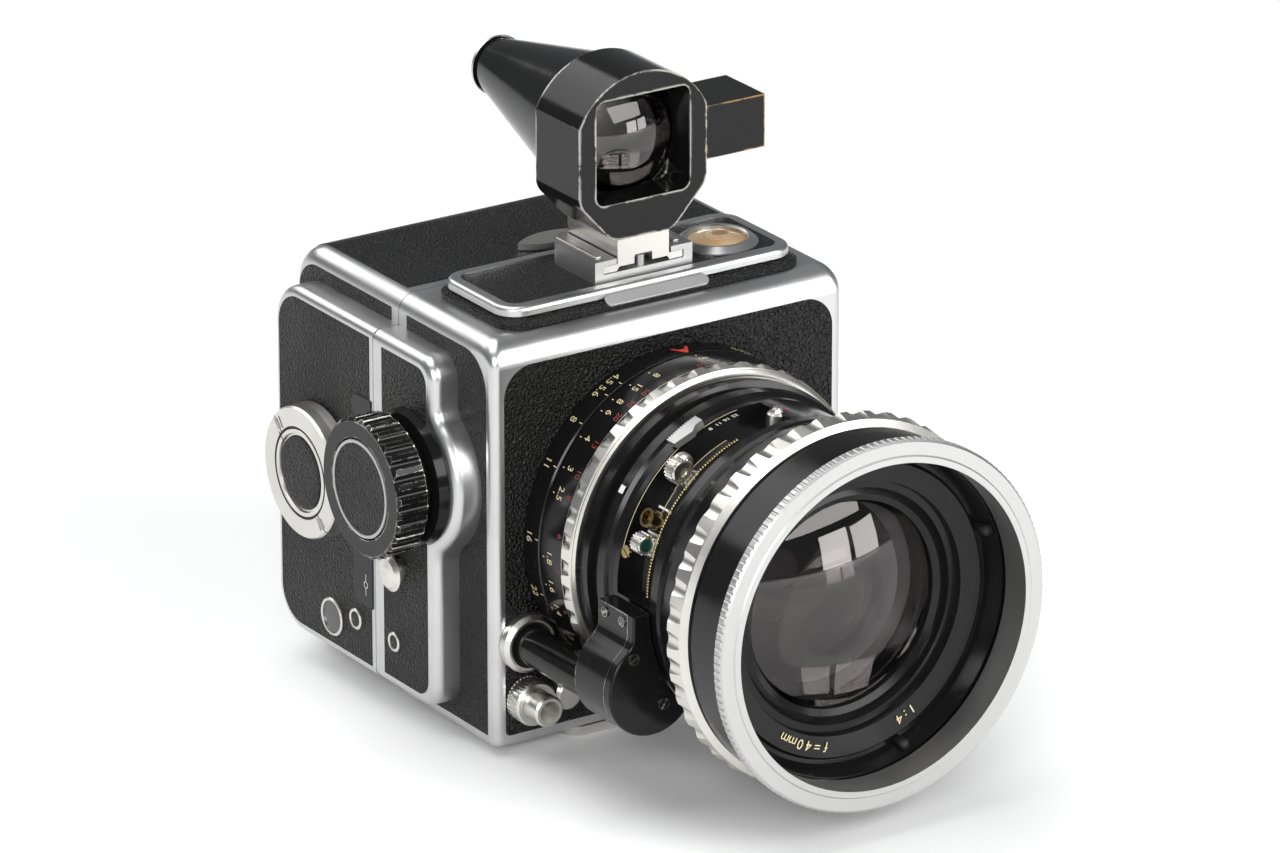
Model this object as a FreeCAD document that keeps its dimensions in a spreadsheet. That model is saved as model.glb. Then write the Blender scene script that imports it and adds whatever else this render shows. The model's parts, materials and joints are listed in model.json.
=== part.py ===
import FreeCAD, Part
import math
import os
import re

import Sketcher
from FreeCAD import Placement, Rotation, Vector

# A boxy medium-format camera with a fixed wide-angle lens, a roll-film magazine and a slide-on
# finder, in millimetres. +Z is up, the lens looks along -Y and +X is the right-hand side as the
# camera is seen from the front. The origin is the mouth of the tripod socket, so the tripod
# plate stands on z = 0, the camera body on z = base_lift, and the lens axis is at x = 0.

doc = FreeCAD.newDocument("Camera")
sheet = doc.addObject("Spreadsheet::Sheet", "dims")

DIMENSIONS = [
    # body and magazine boxes
    ("body_width", 82, "camera body and magazine, side to side"),
    ("body_height", 84.5, "camera body and magazine"),
    ("body_depth", 34, "front face to the seam with the magazine, centred on y = 0"),
    ("magazine_depth", 40, "seam to the back of the magazine"),
    ("seam_gap", 0.15, "between the body and the magazine"),
    ("base_lift", 2, "tripod plate below the body"),
    ("shell_wall", 3, "thickness of the cast shells at the sides"),
    ("front_wall", 2.5, "thickness of the body's front and floor"),
    ("panel_corner", 7.5, "rounding of the top front corners of the side leathers"),
    ("roll_top", 3.7, "rounding of the long top edges"),
    ("roll_front", 5.4, "rounding of the top front edge"),
    ("roll_side", 2, "rounding of the upright front edges"),
    ("roll_bottom", 1.5, "rounding of the bottom edges"),
    ("back_corner", 9, "rounding of the magazine's back corners"),
    ("border", 2.6, "bright border left around a leather panel"),
    ("leather_depth", 0.5, "depth that a leather panel is let in"),
    ("leather_proud", 0.1, "how far leather stands out of its recess"),
    # side housings
    ("side_step", 6, "how far the left-hand housings stand out"),
    ("housing_low", 4.9, "bottom of the side housings above the body's bottom"),
    ("housing_high", 78.4, "top of the side housings above the body's bottom"),
    ("housing_front", 12.4, "front of the body's side housing behind the front face"),
    ("housing_back", 2.7, "back of the magazine's side housing ahead of the back"),
    ("housing_wall", 1.6, "outer wall of a side housing"),
    ("housing_roll", 2.2, "rounding of the outer edges of a side housing"),
    ("bulge_radius", 15.9, "round bulge of the body's side housing about the knob"),
    # advance knob and its gears
    ("knob_back", 19.9, "knob axis behind the front face"),
    ("knob_height", 52.4, "knob axis above the body's bottom"),
    ("knob_radius", 14.2, "outer radius of the knob"),
    ("knob_reach", 18, "knob face beyond the side of the body"),
    ("knob_width", 7, "thickness of the knob"),
    ("shaft_radius", 2.5, "knob shaft"),
    ("running_gap", 0.05, "radial clearance of a running fit"),
    ("gear_module", 0.8, "module of the two winding gears"),
    ("pinion_teeth", 20, "teeth of the gear on the knob's shaft"),
    ("transfer_teeth", 16, "teeth of the gear below it"),
    ("transfer_shift", 3.1, "transfer gear behind the knob's axis"),
    # magazine winder
    ("crank_back", 54, "winder axis behind the body's front face"),
    ("crank_height", 43, "winder axis above the body's bottom"),
    ("crank_radius", 13.7, "outer radius of the winder"),
    ("crank_reach", 11, "winder face beyond the side of the body"),
    # lens, measured from the front face of the body and from the lens axis
    ("lens_height", 42, "lens axis above the body's bottom"),
    ("flange_radius", 34.1, "fixed depth-of-field plate at the body"),
    ("flange_front", 5.4, "front of the depth-of-field plate"),
    ("distance_radius", 34, "distance ring"),
    ("grip_back", 13.4, "back of the focusing grip"),
    ("grip_front", 16.8, "front of the focusing grip"),
    ("grip_radius", 34.4, "focusing grip over its lobes"),
    ("sleeve_radius", 29.3, "sliding sleeve of the lens unit"),
    ("case_back", 17.2, "back of the shutter case"),
    ("case_front", 45, "front of the shutter case"),
    ("case_radius", 31, "shutter case"),
    ("knob_thickness", 3, "small setting knobs"),
    ("cell_radius", 24, "bore that holds the optical cells"),
    ("case_hollow", 26.2, "inside of the shutter case between its ends"),
    ("ring_back", 55, "back of the shutter speed ring"),
    ("ring_front", 59.8, "front of the shutter speed ring"),
    ("ring_radius", 37.6, "shutter speed ring over its lobes"),
    ("ring_seat", 33, "seat of the shutter speed ring on the barrel"),
    ("barrel_radius", 35.7, "front barrel"),
    ("rim_back", 70.9, "back of the front rim"),
    ("rim_front", 73.7, "front of the front rim"),
    ("rim_radius", 37.5, "outer radius of the front rim"),
    ("rim_bore", 33, "inner radius of the front rim"),
    ("glass_radius", 21, "front glass"),
    ("link_out", 33.9, "linkage tube axis left of the lens axis"),
    ("link_height", 21.6, "linkage tube axis above the body's bottom"),
    ("link_radius", 3.9, "linkage tube"),
    ("bracket_out", 31.8, "centre of the linkage bracket's round end, left of the lens axis"),
    ("bracket_height", 26.2, "centre of the round end above the body's bottom"),
    ("bracket_radius", 10.05, "round end of the linkage bracket"),
    ("bracket_neck", 36.35, "left side of the bracket's neck, left of the lens axis"),
    ("bracket_top", 41.4, "top of the bracket's neck above the body's bottom"),
    ("bracket_back", 30, "back of the linkage bracket"),
    ("bracket_front", 40.1, "front of the linkage bracket"),
    ("cover_front", 42.2, "front of the linkage cover"),
    # top plate, shoe and finder
    ("plate_half", 34, "half width of the raised top plate"),
    ("plate_front", 5.6, "front of the raised top plate behind the front face"),
    ("plate_back", 30.6, "back of the raised top plate behind the front face"),
    ("plate_rise", 4, "top of the plate's bead above the body"),
    ("shoe_width", 22.7, "outside of the accessory shoe"),
    ("shoe_slot", 18.6, "slot of the accessory shoe"),
    ("shoe_lip_gap", 12.7, "opening between the shoe's lips"),
    ("shoe_length", 18.8, "accessory shoe, front to back"),
    ("shoe_front", 9.2, "front of the shoe behind the front face"),
    ("shoe_tall", 4.5, "accessory shoe"),
    ("hood_half", 14.8, "half width of the finder hood"),
    ("hood_depth", 15.6, "finder hood, front to back"),
    ("finder_height", 114.6, "finder axis above the body's bottom"),
    ("cone_length", 36, "finder cone, front to back"),
    ("cone_big", 14.4, "finder cone at the hood"),
    ("cone_small", 5.75, "finder cone at the eye"),
    ("level_out", 22.2, "level vial right of the lens axis"),
    ("level_radius", 8.2, "level ring"),
    # film
    ("frame_size", 56, "square picture opening"),
    ("spool_length", 65, "roll film spool"),
    ("spool_radius", 12.4, "flange of a roll film spool"),
]

for row, (alias, value, note) in enumerate(DIMENSIONS, start=1):
    sheet.set(f"A{row}", note)
    sheet.set(f"B{row}", str(value))
    sheet.setAlias(f"B{row}", alias)
doc.recompute()

ALIASES = {alias for alias, value, note in DIMENSIONS}


def bound(text):
    """The same formula with every dimension's name pointing at the sheet."""
    return re.sub(r"[a-z_]+", lambda m: f"dims.{m[0]}" if m[0] in ALIASES else m[0], str(text))


def num(text):
    """The value of a formula, in millimetres."""
    return float(sheet.evalExpression(bound(text)))


def bind(item, **formulas):
    """Ties properties of a document object to formulas over the sheet."""
    for prop, formula in formulas.items():
        item.setExpression(prop.replace("__", "."), bound(formula))


# Places that many pieces share, as formulas over the sheet.
SIDE = "(body_width / 2)"
FRONT = "(0 - body_depth / 2)"
SEAM = "(body_depth / 2)"
MAG_FRONT = f"({SEAM} + seam_gap)"
BACK = f"({SEAM} + magazine_depth)"
BOTTOM = "base_lift"
TOP = "(base_lift + body_height)"
LENS_Z = "(base_lift + lens_height)"
STEP_OUT = f"(0 - {SIDE} - side_step)"
KNOB_Y = f"({FRONT} + knob_back)"
KNOB_Z = "(base_lift + knob_height)"
CRANK_Y = f"({FRONT} + crank_back)"
CRANK_Z = "(base_lift + crank_height)"
LINK_X = "(0 - link_out)"
LINK_Z = "(base_lift + link_height)"
HOUSING_LOW = "(base_lift + housing_low)"
HOUSING_HIGH = "(base_lift + housing_high)"
PLATE_TOP = f"({TOP} + plate_rise)"
SHOE_BASE = f"({PLATE_TOP} - 0.35)"
FINDER_Z = "(base_lift + finder_height)"
HOOD_FRONT = f"({FRONT} + shoe_front + 0.2)"
HOOD_BOTTOM = "(base_lift + 96.2)"
RELEASE_X, RELEASE_Z = "(0 - 33.7)", "(base_lift + 9.5)"
LOCK_X, LOCK_Z = "(0 - 25)", "(base_lift + 9)"
PANEL_BOTTOM = "(base_lift + 2.4)"
PANEL_TOP = "(base_lift + 81.2)"
PLATE_SCREWS = [(x, y) for x in ("0 - 17", "17") for y in ("0 - 11", "11")]
STUD_Y, STUD_Z = "(0 + 8)", "(base_lift + 31)"
GEAR_SPACING = "(gear_module * (pinion_teeth + transfer_teeth) / 2)"
GEAR_DROP = f"sqrt({GEAR_SPACING} * {GEAR_SPACING} - transfer_shift * transfer_shift)"
TRANSFER_Y, TRANSFER_Z = f"({KNOB_Y} + transfer_shift)", f"({KNOB_Z} - {GEAR_DROP})"
LEVEL_Y = f"({FRONT} + 16.6)"
CHAMBER_FRONT = f"({SEAM} + 3.6)"
LATCH_Y = f"({SEAM} + 6)"
COUNTER_Y, COUNTER_Z = f"({FRONT} + 50.3)", "(base_lift + 12.5)"
SIGNAL_Y, SIGNAL_Z = f"({FRONT} + 41.3)", "(base_lift + 15.1)"
SPINE_END = f"({SIDE} - 3.2)"
SPOOL_Y = f"({SEAM} + 22)"
SPOOL_HEIGHTS = (f"({LENS_Z} - 25.5)", f"({LENS_Z} + 25.5)")

# Angles and counts.
LOCK_LEAN = 122
APERTURE_ANGLE, FLASH_ANGLE, SYNC_ANGLE = 131, 151, 160.2
COCKING_SPAN = (111, 124.5)
WINDOW_FROM, WINDOW_TO = 86, 182
BLADES = 5
CRANK_GAP = 0.3
FOLD_LEAN = 45
BLADE_SPREAD = 100

# Turns that carry a sketch's own axes (along, across, out of the sketch) onto the frame's.
X_AXIS, Y_AXIS, Z_AXIS = Vector(1, 0, 0), Vector(0, 1, 0), Vector(0, 0, 1)
ALONG = {
    "x": Rotation(X_AXIS, Y_AXIS, Z_AXIS, "XYZ"),
    "y": Rotation(Y_AXIS, Z_AXIS, X_AXIS, "XYZ"),
    "z": Rotation(Z_AXIS, X_AXIS, Y_AXIS, "XYZ"),
}
FACING = {
    "x": Rotation(Y_AXIS, Z_AXIS, X_AXIS, "XYZ"),
    "y": Rotation(Z_AXIS, X_AXIS, Y_AXIS, "XYZ"),
    "z": Rotation(X_AXIS, Y_AXIS, Z_AXIS, "XYZ"),
}
parts = {}


def keep(item, node):
    """Names a finished sub-part; its label becomes its file's name."""
    item.Label = node
    parts[node] = item
    return item


def place(item, rotation, x="0", y="0", z="0"):
    item.Placement = Placement(Vector(num(x), num(y), num(z)), rotation)
    for axis, formula in (("x", x), ("y", y), ("z", z)):
        item.setExpression(f"Placement.Base.{axis}", bound(formula))
    return item


def origin_plane(body, role="XY_Plane"):
    return next(o for o in body.Origin.OriginFeatures if o.Role == role)


def polygon_sketch(body, name, corners):
    """A closed outline whose corners are all dimensioned from the sketch's origin."""
    sketch = body.newObject("Sketcher::SketchObject", name)
    sketch.AttachmentSupport = [(origin_plane(body), "")]
    sketch.MapMode = "FlatFace"
    spots = [Vector(num(a), num(b), 0) for a, b in corners]
    count = len(spots)
    for i in range(count):
        sketch.addGeometry(Part.LineSegment(spots[i], spots[(i + 1) % count]))
    for i in range(count):
        sketch.addConstraint(Sketcher.Constraint("Coincident", i, 2, (i + 1) % count, 1))
    for i, (a, b) in enumerate(corners):
        for kind, formula, value in (("X", a, spots[i].x), ("Y", b, spots[i].y)):
            if abs(value) < 1e-9:
                sketch.addConstraint(
                    Sketcher.Constraint("PointOnObject", i, 1, -2 if kind == "X" else -1))
                continue
            index = sketch.addConstraint(Sketcher.Constraint(f"Distance{kind}", -1, 1, i, 1, value))
            sketch.setExpression(f"Constraints[{index}]", bound(formula))
    return sketch


def turned(name, axis, profile, x="0", y="0", z="0"):
    """A lathe-turned body: profile corners are (place along the axis, radius)."""
    body = doc.addObject("PartDesign::Body", name)
    sketch = polygon_sketch(body, f"{name}_profile", profile)
    spin = body.newObject("PartDesign::Revolution", f"{name}_turn")
    spin.Profile = sketch
    spin.ReferenceAxis = (sketch, ["H_Axis"])
    spin.Angle = 360
    return place(body, ALONG[axis], x, y, z)


def prism(name, axis, outline, start, length):
    """An outline across the axis, pulled along it from start."""
    body = doc.addObject("PartDesign::Body", name)
    sketch = polygon_sketch(body, f"{name}_outline", outline)
    pad = body.newObject("PartDesign::Pad", f"{name}_pad")
    pad.Profile = sketch
    bind(pad, Length=length)
    place(body, FACING[axis], **{axis: start})
    doc.recompute()
    return body


def soften(body, radius, pick, name="round"):
    """Rounds the edges of a body that pick chooses, in the body's own axes."""
    doc.recompute()
    tip = body.Tip
    chosen = [f"Edge{i}" for i, edge in enumerate(tip.Shape.Edges, start=1) if pick(edge)]
    if not chosen:
        raise RuntimeError(f"{body.Name}: no edge to round")
    fillet = body.newObject("PartDesign::Fillet", f"{body.Name}_{name}")
    fillet.Base = (tip, chosen)
    bind(fillet, Radius=radius)
    doc.recompute()
    return body


def upright(edge):
    """True for a straight edge that runs along the direction in which a prism is pulled."""
    if not isinstance(edge.Curve, Part.Line):
        return False
    return abs(edge.tangentAt(edge.FirstParameter).z) > 0.999


def repeat(body, feature, count):
    """Repeats a feature round a turned body's axis, which is the sketch's own X."""
    pattern = body.newObject("PartDesign::PolarPattern", f"{feature.Name}_ring")
    pattern.Originals = [feature]
    pattern.Axis = (next(o for o in body.Origin.OriginFeatures if o.Role == "X_Axis"), [""])
    pattern.Angle = 360
    pattern.Occurrences = count
    body.Tip = pattern
    doc.recompute()
    return body


def flute(body, name, count, centre_radius, radius, start, length):
    """Cuts round grooves along a turned body's rim."""
    sketch = body.newObject("Sketcher::SketchObject", f"{name}_sketch")
    sketch.AttachmentSupport = [(origin_plane(body, "YZ_Plane"), "")]
    sketch.MapMode = "FlatFace"
    bind(sketch, AttachmentOffset__Base__z=start)
    doc.recompute()
    sketch.addGeometry(Part.Circle(Vector(num(centre_radius), 0, 0), Z_AXIS, num(radius)))
    sketch.addConstraint(Sketcher.Constraint("PointOnObject", 0, 3, -1))
    far = sketch.addConstraint(Sketcher.Constraint("DistanceX", -1, 1, 0, 3, num(centre_radius)))
    wide = sketch.addConstraint(Sketcher.Constraint("Radius", 0, num(radius)))
    sketch.setExpression(f"Constraints[{far}]", bound(centre_radius))
    sketch.setExpression(f"Constraints[{wide}]", bound(radius))
    pocket = body.newObject("PartDesign::Pocket", name)
    pocket.Profile = sketch
    pocket.Reversed = True
    bind(pocket, Length=length)
    doc.recompute()
    return repeat(body, pocket, count)


def box(name, x, y, z, long, deep, tall):
    item = doc.addObject("Part::Box", name)
    bind(item, Length=long, Width=deep, Height=tall)
    return place(item, Rotation(), x, y, z)


def span(name, x, y, z):
    """A box given by its two ends along each axis."""
    return box(name, x[0], y[0], z[0], *(f"({b}) - ({a})" for a, b in (x, y, z)))


def rod(name, axis, radius, start, length, x="0", y="0", z="0"):
    item = doc.addObject("Part::Cylinder", name)
    bind(item, Radius=radius, Height=length)
    spot = {"x": x, "y": y, "z": z}
    spot[axis] = start
    return place(item, FACING[axis], **spot)


def ball(name, radius, x="0", y="0", z="0"):
    item = doc.addObject("Part::Sphere", name)
    bind(item, Radius=radius)
    return place(item, Rotation(), x, y, z)


def cut(name, base, *tools):
    for i, tool in enumerate(tools):
        item = doc.addObject("Part::Cut", name if i == len(tools) - 1 else f"{name}_cut{i}")
        item.Base, item.Tool = base, tool
        base = item
    return base


def fuse(name, *items):
    item = doc.addObject("Part::MultiFuse", name)
    item.Shapes = list(items)
    item.Refine = True
    return item


def common(name, *items):
    item = doc.addObject("Part::MultiCommon", name)
    item.Shapes = list(items)
    return item


def group(name, *items):
    item = doc.addObject("Part::Compound", name)
    item.Links = list(items)
    return item


def rounded(name, base, rules):
    """Rounds several sets of edges of a solid in one go; rules are (pick, radius)."""
    doc.recompute()
    item = doc.addObject("Part::Fillet", name)
    item.Base = base
    edges = []
    for i, edge in enumerate(base.Shape.Edges, start=1):
        radius = next((num(r) for pick, r in rules if pick(edge)), None)
        if radius:
            edges.append((i, radius, radius))
    item.Edges = edges
    doc.recompute()
    return item


def near(edge, **where):
    """True for an edge whose middle lies at the places given, along the axes given."""
    middle = edge.BoundBox.Center
    return all(abs(getattr(middle, axis) - num(spot)) < 0.05 for axis, spot in where.items())


def ahead(distance):
    """The y of a place that far in front of the body's front face."""
    return f"({FRONT} - ({distance}))"


def polar(angle, radius):
    """x and z of a point at an angle (degrees from +X towards +Z) about the lens axis."""
    return (f"cos({angle} deg) * ({radius})", f"{LENS_Z} + sin({angle} deg) * ({radius})")


def radial_rod(name, angle, radius, inner, outer, distance):
    """A rod that stands out of the lens barrel, square to the lens axis."""
    item = doc.addObject("Part::Cylinder", name)
    bind(item, Radius=radius, Height=f"({outer}) - ({inner})")
    x, z = polar(angle, inner)
    turn = Rotation(Z_AXIS, Vector(math.cos(math.radians(angle)), 0, math.sin(math.radians(angle))))
    return place(item, turn, x, ahead(distance), z)


def lens(name, radius, front, thickness, front_curve, rear_curve=None):
    """A glass element: a disc domed in front and, if asked, hollowed behind."""
    disc = rod(f"{name}_disc", "y", radius, ahead(front), thickness, z=LENS_Z)
    dome = ball(f"{name}_dome", front_curve, y=f"{ahead(front)} + ({front_curve})", z=LENS_Z)
    glass = common(f"{name}_blank", disc, dome)
    if rear_curve:
        behind = f"{ahead(front)} + ({thickness}) + ({rear_curve}) - 2"
        hollow = ball(f"{name}_hollow", rear_curve, y=behind, z=LENS_Z)
        glass = cut(name, glass, hollow)
    return keep(glass, name)


# ---------------------------------------------------------------- camera body

def side_outline(y0, y1, z0, z1):
    """Corners of an upright rectangle as seen from the side."""
    return [(y0, z0), (y1, z0), (y1, z1), (y0, z1)]


def across(x_half, y0, y1):
    """Corners of a level rectangle that is centred on the lens axis."""
    return [(f"0 - ({x_half})", y0), (x_half, y0), (x_half, y1), (f"0 - ({x_half})", y1)]


def upper(edge):
    """True for an upright edge of a front panel above the lens axis, in the panel's own axes."""
    return upright(edge) and edge.BoundBox.Center.x > num(LENS_Z)


def lower(edge):
    return upright(edge) and edge.BoundBox.Center.x < num(LENS_Z)


def front_panel(name, start, thickness):
    """A front leather sheet or its recess, with rounder corners above than below."""
    left, right = f"border - {SIDE}", f"{SIDE} - border"
    outline = [(PANEL_BOTTOM, left), (f"{TOP} - roll_front", left),
               (f"{TOP} - roll_front", right), (PANEL_BOTTOM, right)]
    body = prism(name, "y", outline, start, thickness)
    soften(body, "6.5", upper, "top")
    return soften(body, "1", lower, "bottom")


def front_top_corner(edge):
    """True for the upper front corner of a side panel, in the panel's own axes."""
    middle = edge.BoundBox.Center
    return upright(edge) and middle.y > num(LENS_Z) and middle.x < 0


def side_panel(name, start, thickness):
    """A side leather sheet or its recess."""
    outline = side_outline(f"{FRONT} + border", f"{SEAM} - 3", PANEL_BOTTOM, PANEL_TOP)
    return soften(prism(name, "x", outline, start, thickness), "panel_corner", front_top_corner)


def make_body_shell():
    block = span("shell_block", (f"0 - {SIDE}", SIDE), (FRONT, SEAM), (BOTTOM, TOP))
    solid = rounded("shell_rounded", block, [
        (lambda e: near(e, y=FRONT, z=TOP), "roll_front"),
        (lambda e: near(e, y=FRONT, z=BOTTOM), "roll_bottom"),
        (lambda e: near(e, y=FRONT), "roll_side"),
        (lambda e: near(e, y="0", z=TOP), "roll_top"),
        (lambda e: near(e, y="0", z=BOTTOM), "roll_bottom"),
    ])
    inside = f"{SIDE} - shell_wall"
    cavity = span("shell_cavity", (f"0 - ({inside})", inside),
                  (f"{FRONT} + front_wall", f"{SEAM} + 5"),
                  (f"{BOTTOM} + front_wall", f"{TOP} - shell_wall"))
    front_holes = [
        rod(f"shell_{name}_hole", "y", radius, f"{FRONT} - 1", "front_wall + 2", x=x, z=z)
        for name, radius, x, z in (("lens", "31.6", "0", LENS_Z), ("link", "4.95", LINK_X, LINK_Z),
                                   ("release", "3.5", RELEASE_X, RELEASE_Z),
                                   ("lock", "1.05", LOCK_X, LOCK_Z))]
    shaft_hole = rod("shell_shaft_hole", "x", "shaft_radius + running_gap", f"0 - {SIDE} - 1",
                     "shell_wall + 2", y=KNOB_Y, z=KNOB_Z)
    socket_hole = rod("shell_socket_hole", "z", "7.1", f"{BOTTOM} - 1", "front_wall + 2")
    screw_holes = group("shell_screw_holes", *[
        rod(f"shell_screw_hole{i}", "z", "1.3", f"{BOTTOM} - 1", "front_wall + 2", x=x, y=y)
        for i, (x, y) in enumerate(PLATE_SCREWS)])
    front_pocket = front_panel("shell_front_pocket", f"{FRONT} - 1", "1 + leather_depth")
    left_pocket = side_panel("shell_left_pocket", f"0 - {SIDE} - 1", "1 + leather_depth")
    under_housing = housing_solid("shell_under_housing", "0", f"0 - {SIDE} - 2", "4")
    left_pocket = cut("shell_recess", left_pocket, under_housing)
    right_pocket = side_panel("shell_right_pocket", f"{SIDE} - leather_depth", "1 + leather_depth")
    shell = cut("body_shell", solid, cavity, *front_holes, shaft_hole, socket_hole, screw_holes,
                front_pocket, left_pocket, right_pocket)
    keep(shell, "body_shell")


def make_leathers():
    thick = "leather_proud + leather_depth"
    sheet_front = front_panel("front_leather_sheet", f"{FRONT} - leather_proud", thick)
    holes = [
        rod("leather_lens_hole", "y", "flange_radius + 0.05", f"{FRONT} - 2", "6", z=LENS_Z),
        rod("leather_link_hole", "y", "5", f"{FRONT} - 2", "6", x=LINK_X, z=LINK_Z),
        rod("leather_release_hole", "y", "4.65", f"{FRONT} - 2", "6", x=RELEASE_X, z=RELEASE_Z),
        rod("leather_lock_hole", "y", "1.05", f"{FRONT} - 2", "6", x=LOCK_X, z=LOCK_Z),
    ]
    keep(cut("front_leather", sheet_front, *holes), "front_leather")

    left = side_panel("recess_sheet", f"0 - {SIDE} - leather_proud", thick)
    hidden = housing_solid("recess_housing_tool", "0 - 0.02", f"0 - {SIDE} - 3", "8")
    recess = cut("recess_leather", left, hidden)

    right = side_panel("right_sheet", f"{SIDE} - leather_depth", thick)
    stud_hole = rod("right_stud_hole", "x", "2.6", f"{SIDE} - 2", "6", y=STUD_Y, z=STUD_Z)
    keep(group("side_leathers", recess, cut("right_leather", right, stud_hole), housing_leather()),
         "side_leathers")


def front_corner(edge):
    """True for an upright edge of a side prism that lies ahead of the middle of the body."""
    return upright(edge) and edge.BoundBox.Center.x < 0


def housing_solid(name, inset, start, length):
    """The body's side housing as a plain block: an upright slab with a round bulge at the knob."""
    outline = side_outline(f"{FRONT} + housing_front + ({inset})", f"{SEAM} - ({inset})",
                           f"{HOUSING_LOW} + ({inset})", f"{HOUSING_HIGH} - ({inset})")
    slab = prism(f"{name}_slab", "x", outline, start, length)
    soften(slab, f"5 - ({inset})", front_corner)
    disc = rod(f"{name}_disc", "x", f"bulge_radius - ({inset})", start, length, y=KNOB_Y, z=KNOB_Z)
    beyond = span(f"{name}_beyond", (f"{start} - 1", f"{start} + ({length}) + 1"),
                  (f"{SEAM} - ({inset})", f"{SEAM} + 9"), (f"{KNOB_Z} - 16", f"{KNOB_Z} + 16"))
    whole = fuse(f"{name}_whole", slab, cut(f"{name}_bulge", disc, beyond))
    front_y = num(f"{FRONT} + housing_front + ({inset})")
    reach = num("bulge_radius")

    def waist(edge):
        return (isinstance(edge.Curve, Part.Line) and abs(edge.tangentAt(edge.FirstParameter).x) > 0.99
                and abs(edge.BoundBox.Center.y - front_y) < 0.05
                and abs(edge.BoundBox.Center.z - num(KNOB_Z)) < reach)

    return rounded(name, whole, [(waist, "5")])


def make_side_housing():
    smooth = housing_solid("housing_block", "0", STEP_OUT, "side_step")

    def rim(edge):
        return near(edge, x=STEP_OUT) and edge.BoundBox.Center.y < num(SEAM) - 0.1

    shaped = rounded("housing_rounded", smooth, [(rim, "housing_roll")])
    cavity = housing_solid("housing_cavity", "2.4", f"{STEP_OUT} + housing_wall", "side_step")
    shaft_hole = rod("housing_shaft_hole", "x", "shaft_radius + running_gap", f"{STEP_OUT} - 1",
                     "housing_wall + 2", y=KNOB_Y, z=KNOB_Z)
    pocket = housing_panel("housing_pocket", f"{STEP_OUT} - 1", "1.4")
    axle = rod("transfer_axle", "x", "2", f"{STEP_OUT} + 1", "side_step - 1.1",
               y=TRANSFER_Y, z=TRANSFER_Z)
    hollow = cut("housing_hollow", shaped, cavity, shaft_hole, pocket)
    keep(fuse("body_side_housing", hollow, axle), "body_side_housing")


def housing_leather():
    """The leather on the body's side housing, cut out for the knob's collar and the strap stud."""
    sheet_side = housing_panel("body_side_leather_sheet", f"{STEP_OUT} - leather_proud",
                               "leather_proud + 0.4")
    collar_hole = rod("side_collar_hole", "x", "13.85", f"{STEP_OUT} - 2", "4", y=KNOB_Y, z=KNOB_Z)
    stud_hole = rod("side_stud_hole", "x", "2.6", f"{STEP_OUT} - 2", "4", y=STUD_Y, z=STUD_Z)
    return cut("housing_leather", sheet_side, collar_hole, stud_hole)


def housing_panel(name, start, thickness):
    """The outline of the leather on the body's side housing."""
    outline = side_outline(f"{FRONT} + housing_front + 2.4", f"{SEAM} - 3.2",
                           f"{HOUSING_LOW} + 2.4", f"{HOUSING_HIGH} - 2.5")
    body = prism(name, "x", outline, start, thickness)
    return soften(body, "3.4", front_corner)


def make_top():
    """The raised top plate: a sloping leather skirt, a bright bead and a leather inlay."""
    outline = across("plate_half + 1", f"{FRONT} + plate_front - 1.5", f"{FRONT} + plate_back + 0.9")
    skirt = soften(prism("top_skirt", "z", outline, TOP, "plate_rise - 1.9"), "5", upright)
    block = skirt.Tip
    chamfer = skirt.newObject("PartDesign::Chamfer", "top_skirt_slope")
    chamfer.Base = (block, edges_at(block, "plate_rise - 1.9"))
    chamfer.ChamferType = "Two distances"
    bind(chamfer, Size="1", Size2="plate_rise - 2")

    outline = across("plate_half", f"{FRONT} + plate_front", f"{FRONT} + plate_back")
    cover = prism("top_cover_blank", "z", outline, f"{TOP} + plate_rise - 1.9", "1.9")
    soften(cover, "5", upright)
    top_z = num(PLATE_TOP)
    bead = rounded("top_cover_bead", cover, [(lambda e: abs(e.BoundBox.ZMin - top_z) < 0.01, "0.9")])
    tray = top_panel("top_cover_tray", f"{PLATE_TOP} - 0.9", "2")
    keep(cut("top_cover", bead, tray), "top_cover")

    inlay = top_panel("top_inlay", f"{PLATE_TOP} - 0.9", "0.55")
    ring_hole = rod("top_level_hole", "z", "level_radius - 0.75", f"{PLATE_TOP} - 2", "4",
                    x="level_out", y=LEVEL_Y)
    keep(group("top_leathers", skirt, cut("top_panel_leather", inlay, ring_hole)), "top_leathers")


def edges_at(feature, level):
    """Names of the edges of a feature that lie wholly at one height of its own frame."""
    value = num(level)
    return [f"Edge{i}" for i, e in enumerate(feature.Shape.Edges, start=1)
            if abs(e.BoundBox.ZMin - value) < 0.01 and abs(e.BoundBox.ZMax - value) < 0.01]


def top_panel(name, start, thickness):
    """The outline of the top plate's inlay."""
    outline = across("plate_half - 2.5", f"{FRONT} + plate_front + 2.5", f"{FRONT} + plate_back - 2.5")
    return soften(prism(name, "z", outline, start, thickness), "2.6", upright)


def make_level():
    z0 = f"{PLATE_TOP} - 0.9"
    ring = turned("level_ring", "z", [
        ("0", "6"), ("1.7", "6"), ("2", "6.3"), ("2", "6.9"), ("0.9", "level_radius"),
        ("0.6", "level_radius"), ("0.6", "level_radius - 0.8"), ("0", "level_radius - 0.8")],
        "level_out", LEVEL_Y, z0)
    keep(ring, "level_ring")
    disc = rod("vial_disc", "z", "5.95", z0, "1.9", x="level_out", y=LEVEL_Y)
    dome = ball("vial_dome", "24", "level_out", LEVEL_Y, f"{z0} + 1.9 - 24")
    keep(common("level_vial", disc, dome), "level_vial")


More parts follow.
